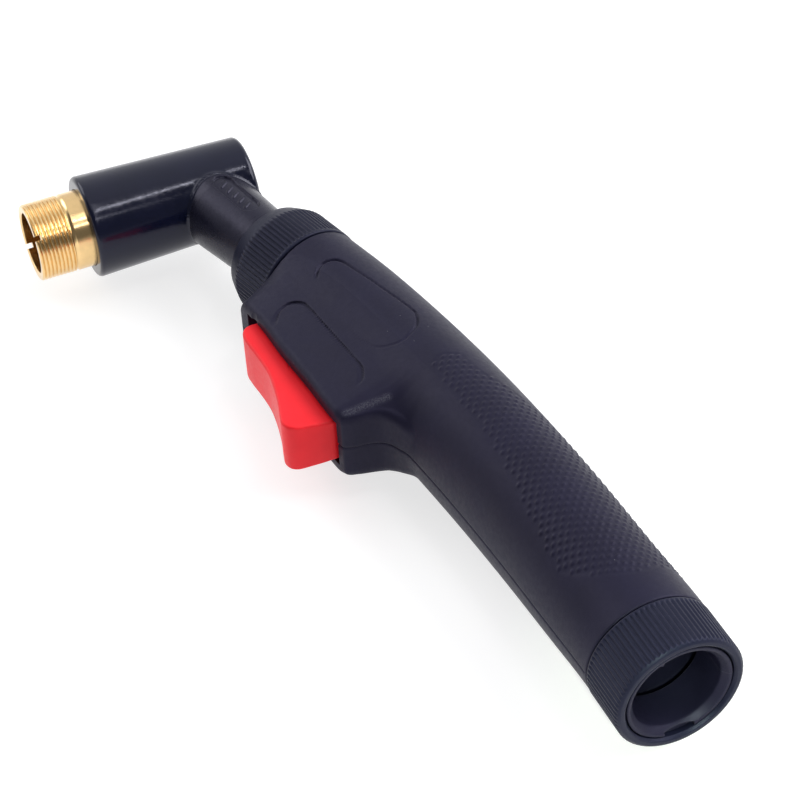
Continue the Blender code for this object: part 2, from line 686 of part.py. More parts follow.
lead_black = material("lead_black", (0.02, 0.02, 0.022), 0.5)
lead_white = material("lead_white", (0.75, 0.75, 0.72), 0.5)
tube("switch_wire_1", smooth_route([(-110.2, -13.2, -0.3), (-107.0, -13.0, -0.9),
                                    (-100.0, -11.6, -1.8), (-88.0, -10.6, -1.6),
                                    (-76.4, -10.2, -1.4)], 3), 0.75, lead_black)
tube("switch_wire_2", smooth_route([(-115.2, -13.0, 0.9), (-114.2, -12.8, 2.0),
                                    (-111.0, -12.6, 2.9), (-104.0, -12.0, 2.6),
                                    (-90.0, -10.8, 1.6), (-76.4, -10.2, 1.4)], 2),
     0.75, lead_white)
plug = add_object("switch_plug", box(-76.0, -66.0, -13.2, -7.2, -3.4, 3.4), insulator)
bevel(plug, 0.6, 2)
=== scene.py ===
import math

import bpy
import numpy as np
from mathutils import Matrix, Vector


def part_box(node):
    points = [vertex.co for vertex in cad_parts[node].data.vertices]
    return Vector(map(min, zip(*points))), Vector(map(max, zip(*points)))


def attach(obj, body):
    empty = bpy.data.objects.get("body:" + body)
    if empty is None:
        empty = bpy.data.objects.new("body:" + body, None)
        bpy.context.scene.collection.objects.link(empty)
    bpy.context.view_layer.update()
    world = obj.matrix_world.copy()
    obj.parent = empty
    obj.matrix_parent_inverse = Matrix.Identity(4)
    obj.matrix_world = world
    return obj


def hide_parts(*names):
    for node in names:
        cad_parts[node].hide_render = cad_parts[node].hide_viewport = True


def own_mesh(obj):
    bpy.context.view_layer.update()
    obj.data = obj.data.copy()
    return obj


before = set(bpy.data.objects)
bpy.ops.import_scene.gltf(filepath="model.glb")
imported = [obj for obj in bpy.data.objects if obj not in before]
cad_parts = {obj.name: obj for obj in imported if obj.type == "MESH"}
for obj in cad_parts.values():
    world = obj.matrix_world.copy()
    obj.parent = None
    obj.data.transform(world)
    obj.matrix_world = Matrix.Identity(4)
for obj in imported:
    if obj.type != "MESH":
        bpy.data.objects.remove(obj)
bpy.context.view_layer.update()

# ------------------------------------------------------------------ placement
# The shapes are laid out in millimetres around the centre of the rear ring
# nut's rear face; SHIFT takes that frame to the row frame.
_lo, _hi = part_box("rear_ring_nut")
SHIFT = np.array([_hi.x * 1000 - 0.5, (_lo.y + _hi.y) * 500, (_lo.z + _hi.z) * 500])
TAU = 2 * math.pi

TILT = math.radians(13.75)
FWD = np.array([-math.cos(TILT), -math.sin(TILT), 0.0])
RING_C = np.array([-158.9, -15.35, 0.0])
HEAD_F = np.array([-207.0, -58.0, 0.0])
HEAD_DIR = np.array([-0.0295, -0.9996, 0.0])
HEAD_DIR /= np.linalg.norm(HEAD_DIR)
HEAD_LEN = 44.5
HEAD_RF, HEAD_RB = 13.3, 11.8
PIVOT = np.array([-138.5, -31.5, 0.0])
SCREW_X, SCREW_Y = (-125.0, -113.0), -17.6

GRIP = np.array([
    (-158.9, -15.35, 14.60, 14.60), (-142.0, -11.80, 15.10, 15.00),
    (-120.0, -8.20, 15.30, 15.70), (-98.0, -5.40, 15.20, 16.80),
    (-77.0, -3.35, 15.00, 17.20), (-56.0, -1.90, 14.90, 16.90),
    (-34.0, -0.90, 14.90, 15.90), (-13.4, 0.00, 15.05, 15.05)])
X_FRONT, X_REAR = GRIP[0, 0], GRIP[-1, 0]

# trigger housing below the grip: x, depth, half width, corner radius, top
HOUSING = np.array([
    (-158.61, 21.4, 5.6, 2.4, 7.5, 10.9), (-156.76, 22.3, 7.4, 2.4, 6.5, 12.2),
    (-153.56, 22.7, 8.9, 2.2, 5.5, 13.2), (-146.0, 23.3, 9.8, 2.0, 4.5, 14.0),
    (-134.0, 24.9, 10.2, 2.0, 4.0, 14.4), (-120.0, 25.9, 10.3, 2.0, 4.0, 14.6),
    (-107.0, 26.8, 10.1, 2.0, 4.0, 14.8), (-104.0, 26.5, 9.6, 2.2, 4.0, 14.8),
    (-102.6, 24.6, 9.4, 2.4, 4.0, 14.8), (-101.4, 20.6, 9.8, 2.4, 4.0, 14.8),
    (-99.6, 17.8, 9.6, 2.4, 4.0, 14.8), (-96.0, 15.9, 8.8, 2.4, 4.0, 14.8),
    (-88.0, 14.6, 6.8, 2.4, 4.0, 14.6)])


# -------------------------------------------------------------------- helpers
def smooth(t):
    t = np.clip(t, 0.0, 1.0)
    return t * t * (3 - 2 * t)


def hermite(x, xs, ys, ms):
    """Cubic through (xs, ys) with the slopes ms."""
    x = np.clip(np.asarray(x, float), xs[0], xs[-1])
    i = np.clip(np.searchsorted(xs, x, side="right") - 1, 0, len(xs) - 2)
    h = xs[i + 1] - xs[i]
    t = (x - xs[i]) / h
    return ((2 * t ** 3 - 3 * t ** 2 + 1) * ys[i] + (t ** 3 - 2 * t ** 2 + t) * h * ms[i]
            + (-2 * t ** 3 + 3 * t ** 2) * ys[i + 1] + (t ** 3 - t ** 2) * h * ms[i + 1])


def slopes(xs, ys, m0=0.0, m1=0.0, monotone=False):
    d = np.diff(ys) / np.diff(xs)
    m = np.zeros(len(xs))
    if monotone:
        for i in range(1, len(xs) - 1):
            if d[i - 1] * d[i] > 0:
                m[i] = 2 * d[i - 1] * d[i] / (d[i - 1] + d[i])
        m[0], m[-1] = d[0], d[-1]
    else:
        m[1:-1] = (ys[2:] - ys[:-2]) / (xs[2:] - xs[:-2])
        m[0], m[-1] = m0, m1
    return m


_gx = GRIP[:, 0]
_gm = [slopes(_gx, GRIP[:, 1], math.tan(TILT), 0.0), slopes(_gx, GRIP[:, 2]),
       slopes(_gx, GRIP[:, 3])]


def grip_at(x):
    """Centre y, slope angle and half sizes of the grip at stations x."""
    y = hermite(x, _gx, GRIP[:, 1], _gm[0])
    e = 0.01
    dy = (hermite(np.asarray(x) + e, _gx, GRIP[:, 1], _gm[0])
          - hermite(np.asarray(x) - e, _gx, GRIP[:, 1], _gm[0]))
    span = (np.clip(np.asarray(x) + e, _gx[0], _gx[-1])
            - np.clip(np.asarray(x) - e, _gx[0], _gx[-1]))
    return (y, np.arctan(dy / span), hermite(x, _gx, GRIP[:, 2], _gm[1]),
            hermite(x, _gx, GRIP[:, 3], _gm[2]))


def frame_points(x, v, w, s=0.0):
    """Points v below the grip's centre line at x, w to the side, s forward."""
    y, ang, _, _ = grip_at(x)
    ca, sa = np.cos(ang), np.sin(ang)
    return np.stack([x - ca * s + sa * v, y - sa * s - ca * v,
                     w + 0.0 * v + 0.0 * x], -1)


def fillet(points, closed=False, seg=6):
    """Polyline of (a, b, radius) with its corners rounded."""
    out = []
    n = len(points)
    for i, (px, py, r) in enumerate(points):
        p = np.array((px, py), float)
        if r <= 0 or (not closed and i in (0, n - 1)):
            out.append(p)
            continue
        a = np.array(points[i - 1][:2], float) - p
        b = np.array(points[(i + 1) % n][:2], float) - p
        la, lb = np.linalg.norm(a), np.linalg.norm(b)
        a, b = a / la, b / lb
        ang = math.acos(np.clip(a @ b, -1, 1))
        if ang > math.pi - 0.02:
            out.append(p)
            continue
        t = min(r / math.tan(ang / 2), 0.49 * la, 0.49 * lb)
        r = t * math.tan(ang / 2)
        c = p + (a + b) / np.linalg.norm(a + b) * (r / math.sin(ang / 2))
        s, e = p + a * t - c, p + b * t - c
        a0, a1 = math.atan2(s[1], s[0]), math.atan2(e[1], e[0])
        d = (a1 - a0 + math.pi) % TAU - math.pi
        for k in range(seg + 1):
            q = a0 + d * k / seg
            out.append(c + r * np.array((math.cos(q), math.sin(q))))
    return np.array(out)


def dense(path, step, closed=False):
    """Polyline with points added so that no piece is longer than step."""
    pts = list(path) + ([path[0]] if closed else [])
    out = []
    for a, b in zip(pts, pts[1:]):
        a, b = np.asarray(a, float), np.asarray(b, float)
        k = max(1, int(math.ceil(np.linalg.norm(b - a) / step)))
        out += [a + (b - a) * j / k for j in range(k)]
    if not closed:
        out.append(np.asarray(path[-1], float))
    return np.array(out)


def axes_of(direction, up=(0.0, 0.0, 1.0)):
    z = np.asarray(direction, float) / np.linalg.norm(direction)
    up = np.asarray(up, float)
    if abs(up @ z) > 0.99:
        up = np.array((1.0, 0.0, 0.0))
    x = up - z * (up @ z)
    x /= np.linalg.norm(x)
    return np.stack([x, np.cross(z, x), z], 1)


def place(local, origin, direction, up=(0.0, 0.0, 1.0)):
    """Local points (Z along direction, X near up) to the layout frame."""
    return local @ axes_of(direction, up).T + np.asarray(origin, float)


def new_object(name, verts, faces, sharp=40.0, smooth_shade=True):
    """Object from layout millimetres.  faces: list of integer arrays."""
    verts = (np.asarray(verts, float) + SHIFT) * 0.001
    loops = np.concatenate([f.reshape(-1) for f in faces])
    totals = np.concatenate([np.full(len(f), f.shape[1]) for f in faces])
    # outward faces: turn everything round if the volume is negative
    vol = 0.0
    for f in faces:
        a = verts[f[:, 0]]
        for k in range(1, f.shape[1] - 1):
            vol += np.einsum("ij,ij->", a, np.cross(verts[f[:, k]], verts[f[:, k + 1]]))
    if vol < 0:
        loops = np.concatenate([f[:, ::-1].reshape(-1) for f in faces])
    me = bpy.data.meshes.new(name)
    me.vertices.add(len(verts))
    me.vertices.foreach_set("co", verts.astype(np.float32).reshape(-1))
    me.loops.add(len(loops))
    me.loops.foreach_set("vertex_index", loops.astype(np.int32))
    me.polygons.add(len(totals))
    starts = np.concatenate([[0], np.cumsum(totals)[:-1]])
    me.polygons.foreach_set("loop_start", starts.astype(np.int32))
    me.update(calc_edges=True)
    me.validate()
    obj = bpy.data.objects.new(name, me)
    bpy.context.scene.collection.objects.link(obj)
    if smooth_shade:
        me.shade_smooth()
        me.set_sharp_from_angle(angle=math.radians(sharp))
    return obj


def skin(name, rings, caps=(None, None), closed=False, **kw):
    """Surface through equal rings of points, capped at both ends, or closed
    in both directions."""
    R = np.asarray(rings, float)
    m, n, _ = R.shape
    idx = np.arange(m * n).reshape(m, n)
    nxt = np.roll(idx, -1, 1)
    if closed:
        i2, n2 = np.roll(idx, -1, 0), np.roll(nxt, -1, 0)
        quads = np.stack([idx, nxt, n2, i2], -1).reshape(-1, 4)
        return new_object(name, R.reshape(-1, 3), [quads], **kw)
    quads = np.stack([idx[:-1], nxt[:-1], nxt[1:], idx[1:]], -1).reshape(-1, 4)
    c0 = R[0].mean(0) if caps[0] is None else np.asarray(caps[0], float)
    c1 = R[-1].mean(0) if caps[1] is None else np.asarray(caps[1], float)
    verts = np.concatenate([R.reshape(-1, 3), [c0, c1]])
    k = m * n
    t0 = np.stack([nxt[0], idx[0], np.full(n, k)], -1)
    t1 = np.stack([idx[-1], nxt[-1], np.full(n, k + 1)], -1)
    return new_object(name, verts, [quads, t0, t1], **kw)


def revolve(name, profile, origin, direction, n=96, closed=None, radial=None, **kw):
    """Turned shape from (radius, distance) points; radial(i, angles) may change
    the radii of ring i."""
    profile = np.asarray(profile, float)
    if closed is None:
        closed = profile[0, 0] > 1e-6
    th = np.arange(n) * TAU / n
    if closed:
        rings = []
        for i, (r, z) in enumerate(profile):
            rr = np.full(n, r) if radial is None else radial(i, th, r, z)
            rings.append(np.stack([rr * np.cos(th), rr * np.sin(th), np.full(n, z)], -1))
        R = place(np.array(rings), origin, direction)
        return skin(name, R, closed=True, **kw)
    rings = []
    for i, (r, z) in enumerate(profile[1:-1]):
        rr = np.full(n, r) if radial is None else radial(i, th, r, z)
        rings.append(np.stack([rr * np.cos(th), rr * np.sin(th), np.full(n, z)], -1))
    R = place(np.array(rings), origin, direction)
    ends = place(np.array([(0, 0, profile[0, 1]), (0, 0, profile[-1, 1])], float),
                 origin, direction)
    return skin(name, R, caps=(ends[0], ends[1]), **kw)


def rod(p0, p1, r, n=64):
    p0, p1 = np.asarray(p0, float), np.asarray(p1, float)
    length = float(np.linalg.norm(p1 - p0))
    return revolve("tool", [(0, 0), (r, 0), (r, length), (0, length)], p0, p1 - p0, n)


def block(x0, x1, y0, y1, z0, z1, r=0.0, seg=5):
    """Box with its upright edges rounded."""
    path = fillet([(x0, y0, r), (x1, y0, r), (x1, y1, r), (x0, y1, r)], True, seg)
    return prism("tool", path, z0, z1)


def prism(name, outline, z0, z1, **kw):
    o = np.asarray(outline, float)
    rings = [np.concatenate([o, np.full((len(o), 1), z)], 1) for z in (z0, z1)]
    return skin(name, rings, **kw)


def combine(obj, tool, operation, solver="MANIFOLD"):
    """Boolean of obj with tool, applied; the tool is removed."""
    mod = obj.modifiers.new("b", "BOOLEAN")
    mod.object = tool
    mod.operation = operation
    mod.solver = solver
    apply(obj)
    bpy.data.objects.remove(tool, do_unlink=True)
    return obj


def apply(obj):
    dg = bpy.context.evaluated_depsgraph_get()
    dg.update()
    me = bpy.data.meshes.new_from_object(obj.evaluated_get(dg))
    old = obj.data
    obj.modifiers.clear()
    obj.data = me
    bpy.data.meshes.remove(old)
    me.name = obj.name


def finish_shade(obj, sharp=38.0):
    obj.data.shade_smooth()
    obj.data.set_sharp_from_angle(angle=math.radians(sharp))


def copy_of(obj, name):
    new = bpy.data.objects.new(name, obj.data.copy())
    bpy.context.scene.collection.objects.link(new)
    return new


def polygon_distance(px, py, poly):
    """Signed distance to a closed polygon, positive inside."""
    poly = np.asarray(poly, float)
    best = np.full(px.shape, 1e9)
    inside = np.zeros(px.shape, bool)
    m = len(poly)
    for i in range(m):
        ax, ay = poly[i]
        bx, by = poly[(i + 1) % m]
        dx, dy = bx - ax, by - ay
        t = np.clip(((px - ax) * dx + (py - ay) * dy) / (dx * dx + dy * dy), 0, 1)
        best = np.minimum(best, np.hypot(px - ax - t * dx, py - ay - t * dy))
        cross = (ay > py) != (by > py)
        xi = ax + (py - ay) / (by - ay if by != ay else 1e-9) * dx
        inside ^= cross & (px < xi)
    return np.where(inside, best, -best)


def chaikin(poly, times=2):
    p = np.asarray(poly, float)
    for _ in range(times):
        q = np.roll(p, -1, 0)
        p = np.stack([0.75 * p + 0.25 * q, 0.25 * p + 0.75 * q], 1).reshape(-1, 2)
    return p


# ------------------------------------------------------------------ materials
def nodes_of(name):
    mat = bpy.data.materials.new(name)
    mat.use_nodes = True
    nt = mat.node_tree
    return mat, nt, nt.nodes["Principled BSDF"]


def node(nt, kind, **values):
    n = nt.nodes.new(kind)
    for k, v in values.items():
        if k.startswith("in_"):
            n.inputs[k[3:].replace("_", " ")].default_value = v
        else:
            setattr(n, k, v)
    return n


def coords(nt, scale=1000.0):
    """Object coordinates in millimetres."""
    tc = node(nt, "ShaderNodeTexCoord")
    m = node(nt, "ShaderNodeMapping")
    m.inputs["Scale"].default_value = (scale, scale, scale)
    nt.links.new(tc.outputs["Object"], m.inputs["Vector"])
    return m.outputs["Vector"]


def noise(nt, vec, scale, detail=2.0, rough=0.5):
    n = node(nt, "ShaderNodeTexNoise")
    n.inputs["Scale"].default_value = scale
    n.inputs["Detail"].default_value = detail
    n.inputs["Roughness"].default_value = rough
    nt.links.new(vec, n.inputs["Vector"])
    return n.outputs["Fac"]


def remap(nt, value, a0, a1, b0, b1, kind="LINEAR"):
    n = node(nt, "ShaderNodeMapRange", interpolation_type=kind)
    nt.links.new(value, n.inputs["Value"])
    for k, v in zip(("From Min", "From Max", "To Min", "To Max"), (a0, a1, b0, b1)):
        n.inputs[k].default_value = v
    return n.outputs["Result"]


def math_node(nt, op, a, b):
    n = node(nt, "ShaderNodeMath", operation=op)
    for i, v in enumerate((a, b)):
        if isinstance(v, (int, float)):
            n.inputs[i].default_value = v
        else:
            nt.links.new(v, n.inputs[i])
    return n.outputs[0]


def mix_colour(nt, fac, a, b):
    n = node(nt, "ShaderNodeMix", data_type="RGBA")
    if isinstance(fac, (int, float)):
        n.inputs[0].default_value = fac
    else:
        nt.links.new(fac, n.inputs[0])
    for sock, v in ((n.inputs[6], a), (n.inputs[7], b)):
        if isinstance(v, tuple):
            sock.default_value = (*v, 1.0)
        else:
            nt.links.new(v, sock)
    return n.outputs[2]


def edge_mask(nt, radius, gain=6.0):
    """0 on flat areas, rising towards edges: how far a rounded normal turns
    away from the real one."""
    bev = node(nt, "ShaderNodeBevel", samples=4)
    bev.inputs["Radius"].default_value = radius
    geo = node(nt, "ShaderNodeNewGeometry")
    dot = node(nt, "ShaderNodeVectorMath", operation="DOT_PRODUCT")
    nt.links.new(bev.outputs[0], dot.inputs[0])
    nt.links.new(geo.outputs["Normal"], dot.inputs[1])
    inv = math_node(nt, "SUBTRACT", 1.0, dot.outputs["Value"])
    return math_node(nt, "MINIMUM", math_node(nt, "MULTIPLY", inv, gain), 1.0)


def bumps(nt, bsdf, layers, bevel=0.0):
    """Bump nodes in a row: layers of (height output, strength, distance)."""
    normal = None
    if bevel:
        bev = node(nt, "ShaderNodeBevel", samples=6)
        bev.inputs["Radius"].default_value = bevel
        normal = bev.outputs[0]
    for height, strength, distance in layers:
        b = node(nt, "ShaderNodeBump")
        b.inputs["Strength"].default_value = strength
        b.inputs["Distance"].default_value = distance
        nt.links.new(height, b.inputs["Height"])
        if normal is not None:
            nt.links.new(normal, b.inputs["Normal"])
        normal = b.outputs[0]
    if normal is not None:
        nt.links.new(normal, bsdf.inputs["Normal"])


def ridge_distance(nt, vec):
    """Millimetres from the ridge line behind the trigger, on both sides."""
    a, b = Vector((-101.4, -30.6, 9.5)), Vector((-100.2, -20.5, 11.4))
    ab = b - a

    def vm(op, first, second=None):
        n = node(nt, "ShaderNodeVectorMath", operation=op)
        nt.links.new(first, n.inputs[0])
        if isinstance(second, tuple):
            n.inputs[1].default_value = second
        elif second is not None:
            nt.links.new(second, n.inputs[1])
        return n

    local = vm("SUBTRACT", vec, tuple(float(v) for v in SHIFT))
    parts = node(nt, "ShaderNodeSeparateXYZ")
    nt.links.new(local.outputs[0], parts.inputs[0])
    mirrored = node(nt, "ShaderNodeCombineXYZ")
    nt.links.new(parts.outputs["X"], mirrored.inputs["X"])
    nt.links.new(parts.outputs["Y"], mirrored.inputs["Y"])
    nt.links.new(math_node(nt, "ABSOLUTE", parts.outputs["Z"], 0.0), mirrored.inputs["Z"])
    p = vm("SUBTRACT", mirrored.outputs[0], tuple(a))
    along = vm("DOT_PRODUCT", p.outputs[0], tuple(ab / ab.length_squared))
    t = remap(nt, along.outputs["Value"], 0.0, 1.0, 0.0, 1.0)
    foot = node(nt, "ShaderNodeVectorMath", operation="SCALE")
    foot.inputs[0].default_value = tuple(ab)
    nt.links.new(t, foot.inputs["Scale"])
    return vm("LENGTH", vm("SUBTRACT", p.outputs[0], foot.outputs[0]).outputs[0]).outputs["Value"]


def plastic(name, dark, light, rough, grain=0.35, grain_mm=0.22, specks=0.0, wear=None,
            bevel=0.00022, ior=1.46, coat=0.0, tint=(1.0, 1.0, 1.0),
            ridge=False):
    """Moulded plastic: fine grain, cloudy gloss and colour, dust specks and
    slightly polished edges."""
    mat, nt, bsdf = nodes_of(name)
    vec = coords(nt)
    cloud = noise(nt, vec, 0.09, 4.0, 0.6)
    fine = noise(nt, vec, 1.0 / grain_mm, 2.0, 0.6)
    mid = noise(nt, vec, 0.9, 3.0, 0.55)
    col = mix_colour(nt, remap(nt, cloud, 0.35, 0.65, 0.0, 1.0), dark, light)
    if specks:
        vor = node(nt, "ShaderNodeTexVoronoi", feature="F1")
        vor.inputs["Scale"].default_value = 0.30
        nt.links.new(vec, vor.inputs["Vector"])
        spot = remap(nt, vor.outputs["Distance"], 0.018, 0.034, 1.0, 0.0)
        pick = math_node(nt, "GREATER_THAN",
                         node_separate(nt, vor.outputs["Color"]), 0.80)
        fac = math_node(nt, "MULTIPLY", math_node(nt, "MULTIPLY", spot, pick), specks)
        col = mix_colour(nt, fac, col, (0.30, 0.31, 0.33))
    if wear is not None:
        col = mix_colour(nt, math_node(nt, "MULTIPLY", edge_mask(nt, 0.0005), wear[0]),
                         col, wear[1])
    if ridge:
        # painted highlight along the ridge behind the trigger, broken up by scuffing into a
        # sparkle
        near = remap(nt, ridge_distance(nt, vec), 0.1, 1.5, 0.75, 0.0, "SMOOTHSTEP")
        sparkle = remap(nt, noise(nt, vec, 3.2, 3.0, 0.7), 0.42, 0.66, 0.12, 1.0)
        col = mix_colour(nt, math_node(nt, "MULTIPLY", near, sparkle), col,
                         (0.085, 0.085, 0.105))
    nt.links.new(col, bsdf.inputs["Base Color"])
    r = math_node(nt, "ADD", remap(nt, mid, 0.3, 0.7, rough - 0.05, rough + 0.05),
                  remap(nt, cloud, 0.3, 0.7, -0.03, 0.03))
    nt.links.new(r, bsdf.inputs["Roughness"])
    bsdf.inputs["IOR"].default_value = ior
    bsdf.inputs["Specular Tint"].default_value = (*tint, 1.0)
    bsdf.inputs["Coat Weight"].default_value = coat
    bsdf.inputs["Coat Roughness"].default_value = 0.1
    bumps(nt, bsdf, [(mid, 0.10, 0.0002), (fine, grain, 0.00006)], bevel)
    return mat


def node_separate(nt, colour):
    n = node(nt, "ShaderNodeSeparateColor")
    nt.links.new(colour, n.inputs[0])
    return n.outputs[0]


def metal(name, base, tint, rough, origin=None, axis=None, ring_mm=0.12, ring=0.25,
          bevel=0.00012, stain=0.25):
    """Turned metal: fine tool rings across its axis, cloudy tarnish, worn
    edges."""
    mat, nt, bsdf = nodes_of(name)
    vec = coords(nt)
    cloud = noise(nt, vec, 0.35, 4.0, 0.6)
    fine = noise(nt, vec, 6.0, 3.0, 0.6)
    col = mix_colour(nt, remap(nt, cloud, 0.42, 0.72, 0.0, stain), base, tint)
    nt.links.new(col, bsdf.inputs["Base Color"])
    bsdf.inputs["Metallic"].default_value = 1.0
    r = math_node(nt, "ADD", remap(nt, cloud, 0.3, 0.7, rough - 0.03, rough + 0.06),
                  remap(nt, fine, 0.3, 0.7, -0.02, 0.04))
    nt.links.new(r, bsdf.inputs["Roughness"])
    layers = [(fine, 0.10, 0.00003)]
    if axis is not None:
        # distance along the turning axis, in millimetres
        d = node(nt, "ShaderNodeVectorMath", operation="DOT_PRODUCT")
        nt.links.new(vec, d.inputs[0])
        d.inputs[1].default_value = tuple(axis)
        comb = node(nt, "ShaderNodeCombineXYZ")
        nt.links.new(d.outputs["Value"], comb.inputs[0])
        lines = noise(nt, comb.outputs[0], 1.0 / ring_mm, 3.0, 0.7)
        layers.append((lines, ring, 0.00003))
    bumps(nt, bsdf, layers, bevel)
    return mat


M = {}
# the handle plastic carries the painted highlight along the ridge behind the trigger (ridge=True)
M["handle"] = plastic("handle_plastic", (0.0070, 0.0064, 0.0175), (0.0090, 0.0084, 0.0225),
                      0.50, grain=0.55, grain_mm=0.20, specks=0.55, ior=1.33,
                      wear=(0.35, (0.045, 0.043, 0.06)), tint=(0.72, 0.68, 1.0),
                      ridge=True)
M["nut"] = plastic("nut_plastic", (0.0050, 0.0056, 0.0165), (0.0066, 0.0072, 0.0200),
                   0.44, grain=0.35, grain_mm=0.18, specks=0.35, ior=1.34,
                   wear=(0.4, (0.045, 0.046, 0.066)), tint=(0.66, 0.68, 1.0))
M["head"] = plastic("head_plastic", (0.0030, 0.0042, 0.0140), (0.0042, 0.0054, 0.0180),
                    0.15, grain=0.06, grain_mm=0.6, specks=0.35, ior=1.44, bevel=0.0003,
                    tint=(0.85, 0.85, 1.0))
M["neck"] = plastic("neck_plastic", (0.0080, 0.0080, 0.0160), (0.0100, 0.0100, 0.0200),
                    0.28, grain=0.25, grain_mm=0.25, specks=0.2, ior=1.36,
                    tint=(0.75, 0.72, 1.0))
M["trigger"] = plastic("trigger_plastic", (0.88, 0.010, 0.020), (0.94, 0.014, 0.025),
                       0.42, grain=0.35, grain_mm=0.22, specks=0.15, ior=1.33,
                       wear=(0.30, (0.95, 0.16, 0.15)))
M["brass"] = metal("brass", (0.86, 0.60, 0.29), (0.62, 0.42, 0.20), 0.15,
                   axis=HEAD_DIR, ring=0.30)
M["brass_in"] = metal("brass_inner", (0.86, 0.60, 0.26), (0.55, 0.33, 0.12), 0.28,
                      axis=FWD, ring=0.3)
M["copper"] = metal("copper", (0.86, 0.45, 0.28), (0.40, 0.17, 0.10), 0.30, axis=FWD)
M["steel"] = metal("steel", (0.58, 0.58, 0.59), (0.36, 0.34, 0.32), 0.28,
                   axis=(0, 0, 1), ring=0.2)
M["tinned"] = metal("tinned", (0.78, 0.78, 0.79), (0.5, 0.5, 0.5), 0.32,
                    axis=(0, 1, 0), ring=0.12)
M["insulator"] = plastic("insulator", (0.56, 0.54, 0.47), (0.66, 0.64, 0.57), 0.5,
                         grain=0.3, specks=0.1)
M["sleeve"] = plastic("sleeve", (0.012, 0.012, 0.013), (0.02, 0.02, 0.021), 0.55,
                      grain=0.5, grain_mm=0.3)
M["pilot"] = plastic("pilot_lead", (0.40, 0.03, 0.025), (0.48, 0.045, 0.035), 0.42,
                     grain=0.2)
M["lead_dark"] = plastic("lead_dark", (0.012, 0.012, 0.013), (0.02, 0.02, 0.021), 0.42,
                         grain=0.2)
M["lead_pale"] = plastic("lead_pale", (0.68, 0.68, 0.65), (0.76, 0.76, 0.73), 0.42,
                         grain=0.2)
M["switch"] = plastic("switch_plastic", (0.035, 0.035, 0.038), (0.05, 0.05, 0.054), 0.42,
                      grain=0.4, grain_mm=0.15, wear=(0.3, (0.12, 0.12, 0.12)))
M["plunger"] = plastic("plunger_plastic", (0.52, 0.05, 0.03), (0.60, 0.07, 0.04), 0.4,
                       grain=0.3)

CARRIED = {
    "insulator_bush": "insulator", "electrode_holder": "brass_in", "gas_tube": "copper",
    "tube_connector": "brass_in", "heat_shrink": "sleeve", "pilot_wire": "pilot",
    "pilot_terminal": "tinned", "trigger_pin": "steel", "trigger_spring": "steel",
    "switch_case": "switch", "switch_cover": "switch", "switch_plunger": "plunger",
    "switch_lever": "steel", "switch_terminal_1": "tinned", "switch_terminal_2": "tinned",
    "switch_screw_1": "steel", "switch_screw_2": "steel", "switch_wire_1": "lead_dark",
    "switch_wire_2": "lead_pale", "switch_plug": "insulator",
}
for name, key in CARRIED.items():
    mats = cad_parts[name].data.materials
    for i in range(max(1, len(mats))):
        if i < len(mats):
            mats[i] = M[key]
        else:
            mats.append(M[key])


def dress(obj, key, body, slot, *replaced):
    obj.data.materials.clear()
    obj.data.materials.append(M[key])
    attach(obj, body)
    if replaced:
        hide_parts(*replaced)
    return obj


# -------------------------------------------------------------- handle shells
N_PHI = 400
PHI = np.arange(N_PHI) * TAU / N_PHI


def ellipse_radius(a, b):
    return a * b / np.sqrt((b * np.cos(PHI)) ** 2 + (a * np.sin(PHI)) ** 2)


_hx = HOUSING[:, 0]
_hm = [slopes(_hx, HOUSING[:, k], monotone=True) for k in range(1, 6)]


def housing_radius(x):
    """Polar outline of the trigger housing around the grip's centre line."""
    vb, wb, rc, vt, wt = (float(hermite(x, _hx, HOUSING[:, k], _hm[k - 1]))
                          for k in range(1, 6))
    half = [(vb, 0.0), (vb + 0.0, wb - rc)]
    for t in np.linspace(0, math.pi / 2, 9)[1:]:
        half.append((vb - rc + rc * math.cos(t), wb - rc + rc * math.sin(t)))
    half.append((vt, wt))
    h = dense(half, 0.4)
    ang, rad = np.arctan2(h[:, 1], h[:, 0]), np.hypot(h[:, 0], h[:, 1])
    p = np.where(PHI > math.pi, TAU - PHI, PHI)
    r = np.interp(p, ang, rad)
    end = ang[-1]
    return np.where(p > end, rad[-1] - 14.0 * (p - end), r)


def smax(a, b, k):
    h = np.clip(0.5 + 0.5 * (a - b) / k, 0, 1)
    return b + (a - b) * h + k * h * (1 - h)


# grip texture: rows of small lozenge bumps on a slanted lattice
LATTICE = np.linalg.inv(np.array([(0.78, 1.52), (1.50, -1.28)]))
PATCH = np.array([
    (-101.2, 81.0), (-102.3, 86.8), (-102.2, 93.5), (-101.1, 101.8), (-99.5, 105.3),
    (-96.3, 105.0), (-92.9, 106.3), (-90.5, 109.8), (-88.9, 113.5), (-84.0, 122.0),
    (-76.0, 136.0), (-68.0, 150.0), (-61.0, 165.0), (-58.0, 183.0), (-22.5, 183.0),
    (-23.0, 119.7), (-21.7, 106.9), (-22.1, 93.7), (-23.4, 81.5), (-26.4, 67.2),
    (-31.1, 51.9), (-33.5, 46.9), (-36.8, 49.0), (-42.5, 51.4), (-47.9, 56.5),
    (-53.3, 60.6), (-59.3, 65.1), (-64.2, 67.4), (-69.7, 70.0), (-76.5, 73.3),
    (-82.0, 74.8), (-89.7, 75.8), (-95.5, 77.6), (-99.1, 78.0)])
R_TEX = 16.0


